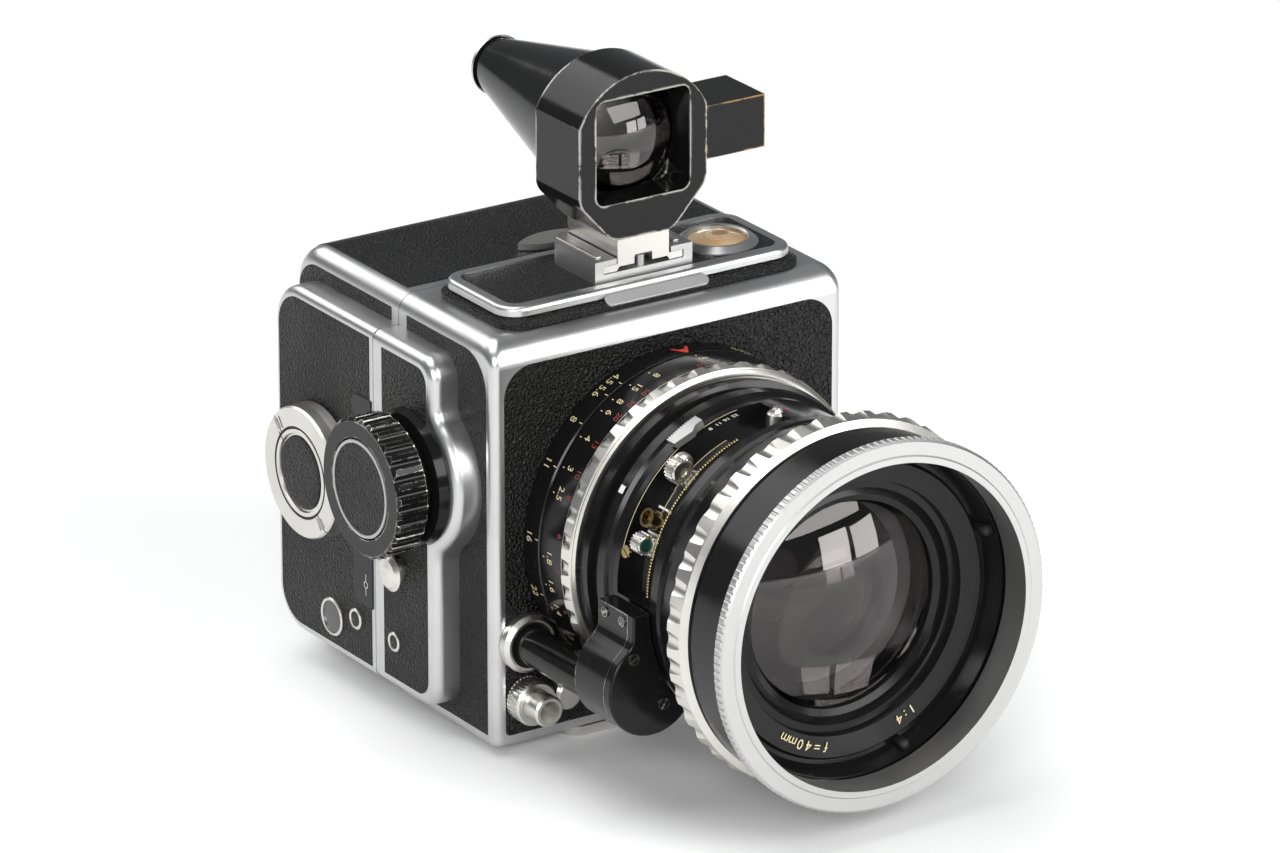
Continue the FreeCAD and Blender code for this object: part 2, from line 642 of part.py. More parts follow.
def make_shoe():
    """The accessory shoe: a channel with turned-in lips and a stop pin in its floor."""
    y0 = f"({FRONT} + shoe_front)"
    half = "(shoe_width / 2)"
    slot = "(shoe_slot / 2)"
    gap = "(shoe_lip_gap / 2)"
    outline = [(SHOE_BASE, f"0 - {half}"), (f"{SHOE_BASE} + shoe_tall", f"0 - {half}"),
               (f"{SHOE_BASE} + shoe_tall", f"0 - {gap}"), (f"{SHOE_BASE} + 3.4", f"0 - {gap}"),
               (f"{SHOE_BASE} + 3.4", f"0 - {slot}"), (f"{SHOE_BASE} + 1.7", f"0 - {slot}"),
               (f"{SHOE_BASE} + 1.7", slot), (f"{SHOE_BASE} + 3.4", slot),
               (f"{SHOE_BASE} + 3.4", gap), (f"{SHOE_BASE} + shoe_tall", gap),
               (f"{SHOE_BASE} + shoe_tall", half), (SHOE_BASE, half)]
    channel = prism("shoe_channel", "y", outline, y0, "shoe_length")
    limits = prism("shoe_limits", "z", across(half, y0, f"{y0} + shoe_length"), SHOE_BASE, "shoe_tall")
    soften(limits, "6", lambda e: upright(e) and e.BoundBox.Center.y > num(y0) + 1)
    pin = rod("shoe_pin", "z", "0.9", f"{SHOE_BASE} + 1", "2.9", y=f"{y0} + 1.5")
    keep(fuse("accessory_shoe", common("shoe_rounded", channel, limits), pin), "accessory_shoe")


def mushroom(name, base_x, sign):
    """A strap stud: a stem with a domed head, standing out of a side face towards sign X."""
    profile = (("0", "0"), ("0", "2.5"), ("1.6", "2.5"), ("2.1", "3.9"),
               ("2.7", "3.9"), ("3.5", "2.9"), ("3.9", "1.4"), ("4", "0"))
    corners = [(f"({base_x}) {sign} {out}", radius) for out, radius in profile]
    return turned(name, "x", corners, y=STUD_Y, z=STUD_Z)


def make_studs():
    keep(group("strap_studs", mushroom("stud_left", f"{STEP_OUT} + 0.4", "-"),
               mushroom("stud_right", f"{SIDE} - leather_depth", "+")), "strap_studs")


def make_base():
    """The tripod plate with its screwed boss, and the four screws that hold it."""
    outline = across("23", f"{FRONT} + 0.6", f"{SEAM} - 1")
    plate = soften(prism("tripod_plate_blank", "z", outline, "0", "base_lift"), "4", upright)
    boss = rod("tripod_boss", "z", "7", "1", "base_lift + front_wall + 1.5")
    socket = rod("tripod_bore", "z", "3.175", "0 - 1", "8")
    screw_holes = group("plate_screw_holes", *[
        rod(f"plate_screw_hole{i}", "z", "2.45", "0 - 1", "1 + base_lift", x=x, y=y)
        for i, (x, y) in enumerate(PLATE_SCREWS)])
    solid = fuse("tripod_plate_solid", plate, boss)
    keep(cut("tripod_plate", solid, socket, screw_holes), "tripod_plate")
    profile = [("0.3", "0"), ("0.3", "2.4"), ("1.9", "2.4"), ("2", "1.25"), ("6.5", "1.25"), ("6.5", "0")]
    screws = [turned(f"body_screw{i}", "z", profile, x, y) for i, (x, y) in enumerate(PLATE_SCREWS)]
    keep(group("body_screws", *screws), "body_screws")


def make_light_box():
    """Flanged tube between the lens opening and the picture opening, with the film gate at the back."""
    opening = "(frame_size / 2)"
    tube = "(frame_size / 2 + 1.5)"
    inside = f"({SIDE} - shell_wall - 0.1)"
    flange = span("box_flange", (f"0 - {inside}", inside), (f"{SEAM} - 2.5", SEAM),
                  (f"{BOTTOM} + front_wall + 4.2", f"{TOP} - shell_wall - 0.1"))
    walls = span("box_walls", (f"0 - {tube}", tube), ("0 - 8", f"{SEAM} - 2.5"),
                 (f"{LENS_Z} - {tube}", f"{LENS_Z} + {tube}"))
    way = span("box_way", (f"0 - {opening}", opening), ("0 - 12", f"{SEAM} + 2"),
               (f"{LENS_Z} - {opening}", f"{LENS_Z} + {opening}"))
    keep(cut("light_box", fuse("light_box_solid", flange, walls), way), "light_box")


# ---------------------------------------------------------------- knob and gears

def make_knob():
    """The winding knob, its collar and shaft, and the two gears behind it."""
    face = "(0 - (body_width / 2) - knob_reach)"
    knob = turned("advance_knob", "x", [
        (f"{face} + 0.6", "0"), (f"{face} + 0.6", "10"), (face, "10.3"), (face, "knob_radius - 0.7"),
        (f"{face} + 0.7", "knob_radius"), (f"{face} + knob_width - 0.4", "knob_radius"),
        (f"{face} + knob_width", "knob_radius - 0.4"), (f"{face} + knob_width", "0")],
        y=KNOB_Y, z=KNOB_Z)
    flute(knob, "knob_flute", 30, "knob_radius + 0.35", "0.95", f"{face} - 0.5", "knob_width + 1")
    bore = rod("knob_bore", "x", "shaft_radius", f"{face} + 2", "knob_width", y=KNOB_Y, z=KNOB_Z)
    keep(cut("advance_knob_bored", knob, bore), "advance_knob")
    cap = turned("knob_cap", "x", [
        (f"{face} - 0.05", "0"), (f"{face} - 0.05", "9.2"), (f"{face} + 0.15", "9.4"),
        (f"{face} + 0.6", "9.4"), (f"{face} + 0.6", "0")], y=KNOB_Y, z=KNOB_Z)
    keep(cap, "knob_cap")
    collar = turned("knob_collar", "x", [
        (f"{STEP_OUT} - 4.6", "shaft_radius + running_gap"), (f"{STEP_OUT} - 4.6", "10.5"),
        (f"{STEP_OUT} - 2.6", "10.5"), (f"{STEP_OUT} - 2.2", "13.4"), (f"{STEP_OUT} - 0.3", "13.8"),
        (STEP_OUT, "13.8"), (STEP_OUT, "shaft_radius + running_gap")], y=KNOB_Y, z=KNOB_Z)
    keep(collar, "knob_collar")
    shaft = rod("shaft_bar", "x", "shaft_radius", f"{face} + 2", "knob_reach + 6", y=KNOB_Y, z=KNOB_Z)
    towards = math.degrees(math.atan2(-num(GEAR_DROP), num("transfer_shift")))
    pinion = gear("shaft_pinion", KNOB_Y, KNOB_Z, "pinion_teeth", towards, "0.2")
    keep(fuse("knob_shaft", shaft, pinion), "knob_shaft")
    half_tooth = 180 / num("transfer_teeth")
    wheel = gear("transfer_wheel", TRANSFER_Y, TRANSFER_Z, "transfer_teeth",
                 towards + 180 + half_tooth, "2.05")
    keep(wheel, "transfer_gear")


def gear(name, y, z, count, first_tooth, bore):
    """A spur gear inside the side housing, with one tooth at an angle from +Y towards +Z."""
    pitch = f"(gear_module * {count} / 2)"
    back, front = f"{STEP_OUT} + housing_wall + 0.9", f"{STEP_OUT} + housing_wall + 3.2"
    wheel = turned(f"{name}_disc", "x", [
        (back, bore), (back, f"{pitch} - 1.1"), (front, f"{pitch} - 1.1"), (front, bore)], y=y, z=z)
    sketch = wheel.newObject("Sketcher::SketchObject", f"{name}_tooth_sketch")
    sketch.AttachmentSupport = [(origin_plane(wheel, "YZ_Plane"), "")]
    sketch.MapMode = "FlatFace"
    bind(sketch, AttachmentOffset__Base__z=back)
    doc.recompute()
    root, tip = num(f"{pitch} - 1.4"), num(f"{pitch} + 0.65")
    wide, narrow = 0.85, 0.3
    corners = [Vector(root, -wide, 0), Vector(tip, -narrow, 0), Vector(tip, narrow, 0),
               Vector(root, wide, 0)]
    for i in range(4):
        sketch.addGeometry(Part.LineSegment(corners[i], corners[(i + 1) % 4]))
    for i in range(4):
        sketch.addConstraint(Sketcher.Constraint("Coincident", i, 2, (i + 1) % 4, 1))
        sketch.addConstraint(Sketcher.Constraint("DistanceX", -1, 1, i, 1, corners[i].x))
        sketch.addConstraint(Sketcher.Constraint("DistanceY", -1, 1, i, 1, corners[i].y))
    tooth = wheel.newObject("PartDesign::Pad", f"{name}_tooth")
    tooth.Profile = sketch
    tooth.Length = num(f"({front}) - ({back})")
    doc.recompute()
    repeat(wheel, tooth, int(num(count)))
    wheel.Placement.Rotation = Rotation(X_AXIS, first_tooth)
    return wheel


# ---------------------------------------------------------------- lens

def make_flange():
    """The fixed depth-of-field plate and the sleeve that the focus ring turns on."""
    plate = turned("flange_plate", "y", [
        (ahead("12"), "sleeve_radius + 0.3"), (ahead("12"), "31.2"), (ahead("flange_front"), "31.2"),
        (ahead("flange_front"), "flange_radius - 0.3"), (ahead("flange_front - 0.3"), "flange_radius"),
        (ahead("0 - leather_depth"), "flange_radius"),
        (ahead("0 - leather_depth"), "31.6"), (ahead("0 - front_wall - 2"), "31.6"),
        (ahead("0 - front_wall - 2"), "sleeve_radius + 0.3")], z=LENS_Z)
    notch = rod("flange_notch", "y", "6.3", ahead("flange_front + 1"), "flange_front + 3", x=LINK_X, z=LINK_Z)
    keep(cut("lens_flange", plate, notch), "lens_flange")


def make_focus():
    ring = turned("distance_ring", "y", [
        (ahead("grip_back"), "31.5"), (ahead("grip_back"), "distance_radius"),
        (ahead("flange_front + 0.6"), "distance_radius"), (ahead("flange_front + 0.3"), "33.7"),
        (ahead("flange_front + 0.3"), "31.5")], z=LENS_Z)
    keep(ring, "distance_ring")
    grip = turned("focus_grip", "y", [
        (ahead("grip_front"), "31.5"), (ahead("grip_front"), "grip_radius - 1.3"),
        (ahead("grip_front - 0.5"), "grip_radius - 0.4"), (ahead("grip_back + 0.3"), "grip_radius"),
        (ahead("grip_back"), "grip_radius - 0.3"), (ahead("grip_back"), "31.5")], z=LENS_Z)
    flute(grip, "focus_scallop", 40, "grip_radius + 2.05", "2.75", ahead("grip_front - 0.9"), "4")
    keep(grip, "focus_grip")


def sector(name, start_angle, end_angle, inner, outer, front, back):
    """A piece of a ring about the lens axis between two angles, given by its distances ahead."""
    ring = rod(f"{name}_outer", "y", outer, ahead(front), f"({front}) - ({back})", z=LENS_Z)
    ring.Angle = end_angle - start_angle
    turn = Rotation(Y_AXIS, 90 - start_angle - ring.Angle.Value)
    ring.Placement.Rotation = turn.multiply(FACING["y"])
    core = rod(f"{name}_inner", "y", inner, ahead(f"({front}) + 1"), f"({front}) - ({back}) + 2",
               z=LENS_Z)
    return cut(name, ring, core)


def make_shutter_case():
    """The shutter case with its sliding sleeve behind and the open window in its left side."""
    case = turned("case_blank", "y", [
        (ahead("case_front"), "cell_radius"), (ahead("case_front"), "case_radius + 1"),
        (ahead("case_front - 1"), "case_radius + 1.4"), (ahead("case_front - 3.4"), "case_radius + 1.2"),
        (ahead("case_front - 3.8"), "case_radius"), (ahead("27"), "case_radius"),
        (ahead("25.6"), "case_radius + 0.2"), (ahead("25"), "case_radius + 0.9"),
        (ahead("22.6"), "case_radius + 0.9"), (ahead("22.2"), "case_radius + 0.2"),
        (ahead("20.6"), "case_radius + 0.2"), (ahead("20.2"), "case_radius + 1.6"),
        (ahead("case_back + 0.4"), "case_radius + 1.6"), (ahead("case_back"), "case_radius + 1.2"),
        (ahead("case_back"), "sleeve_radius"), (ahead("0 - 8"), "sleeve_radius"),
        (ahead("0 - 8"), "sleeve_radius - 3"), (ahead("18"), "sleeve_radius - 3"),
        (ahead("18"), "cell_radius"), (ahead("19.5"), "cell_radius"), (ahead("19.5"), "case_hollow"),
        (ahead("case_front - 1.5"), "case_hollow"), (ahead("case_front - 1.5"), "cell_radius")],
        z=LENS_Z)
    window = sector("case_window", WINDOW_FROM, WINDOW_TO, "case_radius - 3.4", "case_radius + 3",
                    "40", "28.4")
    keep(cut("shutter_case", case, window), "shutter_case")


def make_barrel():
    barrel = turned("front_barrel", "y", [
        (ahead("rim_back - 0.3"), "rim_bore + 1.3"), (ahead("rim_back - 0.3"), "barrel_radius - 0.8"),
        (ahead("rim_back - 0.8"), "barrel_radius - 0.4"), (ahead("rim_back - 1.4"), "barrel_radius"),
        (ahead("ring_front + 1"), "barrel_radius"), (ahead("ring_front + 0.4"), "barrel_radius - 0.5"),
        (ahead("ring_front + 0.4"), "ring_seat"), (ahead("ring_back - 0.4"), "ring_seat"),
        (ahead("ring_back - 0.4"), "ring_seat + 1.9"), (ahead("ring_back - 0.8"), "ring_seat + 2.2"),
        (ahead("case_front + 3"), "ring_seat + 0.6"), (ahead("case_front + 0.5"), "ring_seat - 0.4"),
        (ahead("case_front"), "ring_seat - 0.8"), (ahead("case_front"), "24.5"),
        (ahead("case_front + 1.6"), "24.5"), (ahead("case_front + 1.6"), "30.2"),
        (ahead("58"), "30.2"), (ahead("61"), "rim_bore + 0.2"),
        (ahead("64.6"), "rim_bore + 0.2"), (ahead("65"), "rim_bore + 1.3")], z=LENS_Z)
    keep(barrel, "front_barrel")

    ring = turned("speed_ring", "y", [
        (ahead("ring_front"), "ring_seat + 0.3"), (ahead("ring_front"), "ring_radius - 1.9"),
        (ahead("ring_front - 0.7"), "ring_radius - 0.5"), (ahead("ring_back + 0.4"), "ring_radius"),
        (ahead("ring_back"), "ring_radius - 0.4"), (ahead("ring_back"), "ring_seat + 0.3")], z=LENS_Z)
    flute(ring, "speed_scallop", 44, "ring_radius + 2", "2.75", ahead("ring_front - 1"), "5.4")
    keep(ring, "speed_ring")

    rim = turned("front_rim", "y", [
        (ahead("rim_front"), "rim_bore"), (ahead("rim_front"), "rim_bore + 1.2"),
        (ahead("rim_front - 0.3"), "rim_bore + 1.5"),
        (ahead("rim_front - 0.3"), "rim_radius - 0.5"), (ahead("rim_front - 0.8"), "rim_radius"),
        (ahead("rim_back + 0.4"), "rim_radius"), (ahead("rim_back"), "rim_radius - 0.4"),
        (ahead("rim_back"), "rim_bore + 1.25"), (ahead("67"), "rim_bore + 1.25"),
        (ahead("67"), "rim_bore")], z=LENS_Z)
    flute(rim, "rim_knurl", 150, "rim_radius + 0.28", "0.5", ahead("rim_front - 0.5"), "3")
    keep(rim, "front_rim")

    name_ring = turned("name_ring", "y", [
        (ahead("66.4"), "rim_bore - 0.4"), (ahead("66.4"), "rim_bore"), (ahead("61.2"), "rim_bore"),
        (ahead("58.2"), "30"), (ahead("58.2"), "24.4"), (ahead("54.6"), "24.4"),
        (ahead("54.6"), "glass_radius + 0.1"),
        (ahead("59.6"), "glass_radius + 0.1"), (ahead("60.2"), "glass_radius + 1.4"), (ahead("59.6"), "23.6"),
        (ahead("60.8"), "24"), (ahead("60.8"), "25.4"), (ahead("62.2"), "25.8"), (ahead("63"), "29.8"),
        (ahead("62.4"), "30.4"), (ahead("62.4"), "31.2")], z=LENS_Z)
    keep(name_ring, "name_ring")


def make_glass():
    lens("front_element", "glass_radius", "63.2", "8.6", "47", "26")
    lens("middle_element", "14", "47", "7", "24")
    lens("rear_element", "16.8", "0 - 1", "7.5", "60", "30")
    cell = turned("rear_cell", "y", [
        (ahead("18.2"), "20"), (ahead("18.2"), "cell_radius - 0.05"), (ahead("4"), "cell_radius - 0.05"),
        (ahead("4"), "20.6"), (ahead("0 - 9"), "19"), (ahead("0 - 9"), "16.9"), (ahead("1"), "16.9"),
        (ahead("1"), "18"), (ahead("4"), "20")], z=LENS_Z)
    holder = turned("front_cell", "y", [
        (ahead("54.5"), "19.6"), (ahead("54.5"), "24.3"), (ahead("53.2"), "24.3"),
        (ahead("53.2"), "21.6"), (ahead("46.8"), "20"), (ahead("46.8"), "24.3"),
        (ahead("45.2"), "24.3"), (ahead("45.2"), "cell_radius - 0.05"),
        (ahead("43.4"), "cell_radius - 0.05"), (ahead("43.4"), "19"), (ahead("38"), "17"),
        (ahead("36"), "17"), (ahead("36"), "14.1"), (ahead("48"), "14.1"), (ahead("51"), "16.5")],
        z=LENS_Z)
    keep(group("lens_cells", cell, holder), "lens_cells")


def make_blades():
    blades = []
    for i in range(BLADES):
        start = 360 * i / BLADES
        level = f"31 - {0.4 * i}"
        blades.append(sector(f"blade{i}", start, start + BLADE_SPREAD, "9", "26", level, f"{level} - 0.2"))
    keep(group("aperture_blades", *blades), "aperture_blades")


def small_knob(name, angle, radius, spot, front):
    """A setting knob that faces forward, on a foot that slides round the floor of the case's window."""
    x, z = polar(angle, spot)
    knob = rod(f"{name}_stem", "y", radius, ahead(front), "knob_thickness", x=x, z=z)
    eye = rod(f"{name}_eye", "y", "0.8", ahead(f"({front}) + 1"), "2", x=x, z=z)
    foot = sector(f"{name}_foot", angle - 4, angle + 4,
                  "case_radius - 3.1", "case_radius - 1.9", "37.8", "33")
    return fuse(f"{name}_slider", cut(f"{name}_disc", knob, eye), foot)


def make_controls():
    """The knobs, the cocking tab and the flash socket in and beside the case's window."""
    keep(small_knob("aperture", APERTURE_ANGLE, "2.6", "31.4", "35.6"), "aperture_knob")
    keep(small_knob("sync", SYNC_ANGLE, "2.1", "30.6", "35.4"), "sync_knob")
    tab = sector("cocking_tab", *COCKING_SPAN, "case_radius + 0.35", "case_radius + 2", "30.3", "26.4")
    keep(tab, "cocking_tab")
    socket = radial_rod("flash_body", FLASH_ANGLE, "1.9", "case_radius - 3.4", "case_radius + 0.2", "33")
    bore = radial_rod("flash_bore", FLASH_ANGLE, "1.4", "case_radius - 2.6", "case_radius + 1", "33")
    pin = radial_rod("flash_pin", FLASH_ANGLE, "0.45", "case_radius - 3", "case_radius - 0.6", "33")
    keep(fuse("flash_socket", cut("flash_tube", socket, bore), pin), "flash_socket")


def make_linkage():
    """The tube that works the shutter from the body, its bush, and the bracket round its end."""
    bush = turned("linkage_bush", "y", [
        (ahead("2.6"), "link_radius + running_gap + 0.8"), (ahead("2.6"), "5.2"), (ahead("1.8"), "6"),
        (ahead("leather_proud"), "6"), (ahead("leather_proud"), "4.9"), (ahead("0 - front_wall"), "4.9"),
        (ahead("0 - front_wall"), "link_radius + running_gap"), (ahead("1.8"), "link_radius + running_gap")],
        x=LINK_X, z=LINK_Z)
    keep(bush, "linkage_bush")
    tube = turned("linkage_tube", "y", [
        (ahead("39.9"), "2.6"), (ahead("39.9"), "link_radius"), (ahead("0 - 11"), "link_radius"),
        (ahead("0 - 11"), "2.6")], x=LINK_X, z=LINK_Z)
    keep(tube, "linkage_tube")

    bracket = linkage_outline("bracket", "bracket_front", "bracket_back")
    case_room = rod("bracket_case_room", "y", "case_radius + 1.5", ahead("bracket_front + 1"), "20",
                    z=LENS_Z)
    tube_room = rod("bracket_tube_room", "y", "link_radius + 0.02", ahead("bracket_front + 1"), "20",
                    x=LINK_X, z=LINK_Z)
    keep(cut("linkage_bracket", bracket, case_room, tube_room), "linkage_bracket")

    cover = linkage_outline("cover", "cover_front", "bracket_front + 0.1")
    cover_room = rod("cover_case_room", "y", "case_radius + 1.5", ahead("cover_front + 1"), "4", z=LENS_Z)
    blank = cut("cover_blank", cover, cover_room)
    face = num(ahead("cover_front"))
    keep(rounded("linkage_cover", blank, [(lambda e: abs(e.BoundBox.YMax - face) < 0.01, "0.5")]),
         "linkage_cover")


def linkage_outline(name, front, back):
    """The bracket's and the cover's shared shape: a round end below a straight neck."""
    start, length = ahead(front), f"({front}) - ({back})"
    x, z = "(0 - bracket_out)", "(base_lift + bracket_height)"
    end = rod(f"{name}_end", "y", "bracket_radius", start, length, x=x, z=z)
    neck = span(f"{name}_neck", ("0 - bracket_neck", "0 - 26"), (start, f"{start} + {length}"),
                (z, "base_lift + bracket_top"))
    side_x = -num("bracket_neck")

    def crook(edge):
        middle = edge.BoundBox.Center
        return (isinstance(edge.Curve, Part.Line) and abs(middle.x - side_x) < 0.05
                and abs(edge.tangentAt(edge.FirstParameter).y) > 0.99
                and middle.z < num("base_lift + bracket_top - 1"))

    return rounded(f"{name}_shape", fuse(f"{name}_solid", end, neck), [(crook, "4")])


def make_release():
    collar = turned("release_collar", "y", [
        (ahead("4"), "3.25"), (ahead("4"), "4.2"), (ahead("3.6"), "4.6"), (ahead("0 - leather_depth"), "4.6"),
        (ahead("0 - leather_depth"), "3.25")], x=RELEASE_X, z=RELEASE_Z)
    flute(collar, "release_knurl", 36, "4.6 + 0.1", "0.25", ahead("3.8"), "3.6")
    keep(collar, "release_collar")
    button = turned("release_button", "y", [
        (ahead("3"), "0"), (ahead("8.6"), "2.2"), (ahead("8.6"), "2.8"), (ahead("8.2"), "3.2"),
        (ahead("0 - 6"), "3.2"), (ahead("0 - 6"), "0")], x=RELEASE_X, z=RELEASE_Z)
    keep(button, "release_button")
    hub = turned("lock_hub", "y", [
        (ahead("2.6"), "0"), (ahead("2.6"), "2.4"), (ahead("2"), "3.2"),
        (ahead("leather_proud + 0.1"), "3.2"), (ahead("leather_proud + 0.1"), "1"),
        (ahead("0 - 3"), "1"), (ahead("0 - 3"), "0")], x=LOCK_X, z=LOCK_Z)
    arm = box("lock_arm", "0", "0", "0", "4.8", "1.6", "2")
    place(arm, Rotation(Y_AXIS, -LOCK_LEAN), f"{LOCK_X} + sin({LOCK_LEAN} deg)", ahead("2.3"),
          f"{LOCK_Z} - cos({LOCK_LEAN} deg)")
    keep(fuse("release_lock", hub, arm), "release_lock")


# ---------------------------------------------------------------- finder

def make_finder():
    """The slide-on finder: hood, front glass, cone, eyepiece, shoe foot and level prism."""
    z0 = FINDER_Z
    outline = [
        (HOOD_BOTTOM, "0 - 7"), (f"{BOTTOM} + 104.6", "0 - hood_half"), (f"{BOTTOM} + 131", "0 - hood_half"),
        (f"{BOTTOM} + 131", "hood_half"), (f"{BOTTOM} + 104.6", "hood_half"), (HOOD_BOTTOM, "7")]
    block = prism("hood_block", "y", outline, HOOD_FRONT, "hood_depth")
    low = num(f"{BOTTOM} + 110")
    soften(block, "4.5", lambda e: upright(e) and e.BoundBox.Center.x < low)
    arch = rod("hood_arch", "y", "16.4", HOOD_FRONT, "hood_depth", z=f"{BOTTOM} + 113.6")
    keel = span("hood_keel", ("0 - 20", "20"), (HOOD_FRONT, f"{HOOD_FRONT} + hood_depth"),
                (f"{BOTTOM} + 90", f"{BOTTOM} + 113.6"))
    outer = common("hood_outer", block, fuse("hood_limits", arch, keel))
    window = prism("hood_window", "y", [
        (f"{BOTTOM} + 103.9", "0 - 10.9"), (f"{BOTTOM} + 125.3", "0 - 10.9"), (f"{BOTTOM} + 125.3", "10.9"),
        (f"{BOTTOM} + 103.9", "10.9")], f"{HOOD_FRONT} - 1", "9")
    soften(window, "2", upright)
    bore = rod("hood_bore", "y", "13", f"{HOOD_FRONT} + 7.5", "hood_depth", z=z0)
    keep(cut("finder_hood", outer, window, bore), "finder_hood")

    disc = rod("finder_lens_disc", "y", "12.95", f"{HOOD_FRONT} + 7.6", "3", z=z0)
    nose = span("finder_lens_nose", ("0 - 10.4", "10.4"), (f"{HOOD_FRONT} + 1", f"{HOOD_FRONT} + 8"),
                (f"{z0} - 10.4", f"{z0} + 10.4"))
    dome = ball("finder_lens_dome", "16", y=f"{HOOD_FRONT} + 18", z=z0)
    blank = fuse("finder_lens_blank", disc, nose)
    keep(common("finder_lens", blank, dome), "finder_lens")

    cone_start = f"{HOOD_FRONT} + hood_depth"
    outer = tapered("cone_outer", "cone_big", "cone_small", cone_start)
    inner = tapered("cone_inner", "cone_big - 1.4", "cone_small - 1.4", cone_start)
    keep(cut("finder_cone", outer, inner), "finder_cone")
    eye_y, eye_z = f"{cone_start} + cone_length", f"{z0} + 1.7"
    ring = turned("finder_eyepiece", "y", [
        ("0", "cone_small - 1.45"), ("0", "cone_small + 0.05"), ("0.9", "cone_small + 0.05"),
        ("1.2", "cone_small - 0.25"), ("1.2", "cone_small - 2.2"), ("0.6", "cone_small - 2.6"),
        ("0.6", "cone_small - 1.45")],
        y=eye_y, z=eye_z)
    keep(ring, "finder_eyepiece")

    half = "(shoe_slot / 2 - 0.15)"
    low, high = f"{SHOE_BASE} + 1.85", f"{SHOE_BASE} + 3.25"
    neck = "6"
    outline = [(low, f"0 - {half}"), (high, f"0 - {half}"), (high, f"0 - {neck}"),
               (HOOD_BOTTOM, f"0 - {neck}"), (HOOD_BOTTOM, neck), (high, neck), (high, half), (low, half)]
    foot = prism("foot_blank", "y", outline, HOOD_FRONT, "shoe_length - 1")
    channel = span("foot_channel", ("0 - 2.1", "2.1"), (f"{HOOD_FRONT} - 1", f"{HOOD_FRONT} + 3.2"),
                   (SHOE_BASE, f"{SHOE_BASE} + 4.4"))
    relief = prism("foot_relief", "y", [
        (SHOE_BASE, "0 - 7.4"), (f"{low} + 0.8", "0 - 5.6"), (f"{low} + 0.8", "5.6"), (SHOE_BASE, "7.4")],
        f"{HOOD_FRONT} - 1", "shoe_length + 2")
    keep(cut("finder_foot", foot, channel, relief), "finder_foot")

    prism_box = span("level_prism", ("hood_half", "28.5"), (HOOD_FRONT, f"{HOOD_FRONT} + 13.6"),
                     (f"{BOTTOM} + 109", f"{BOTTOM} + 119.9"))
    keep(prism_box, "level_prism")


def tapered(name, big, small, start):
    """A slightly rising cone between two upright circles."""
    item = doc.addObject("Part::Loft", name)
    rings = []
    ends = ((big, start, FINDER_Z), (small, f"{start} + cone_length", f"{FINDER_Z} + 1.7"))
    for i, (radius, y, z) in enumerate(ends):
        ring = doc.addObject("Part::Circle", f"{name}_ring{i}")
        bind(ring, Radius=radius)
        place(ring, FACING["y"], y=y, z=z)
        rings.append(ring)
    item.Sections = rings
    item.Solid = True
    item.Ruled = True
    return item


# ---------------------------------------------------------------- magazine

def back_corner(edge):
    """True for an upright edge at the back of a side prism, in the prism's own axes."""
    return upright(edge) and edge.BoundBox.Center.x > num(SEAM) + 10


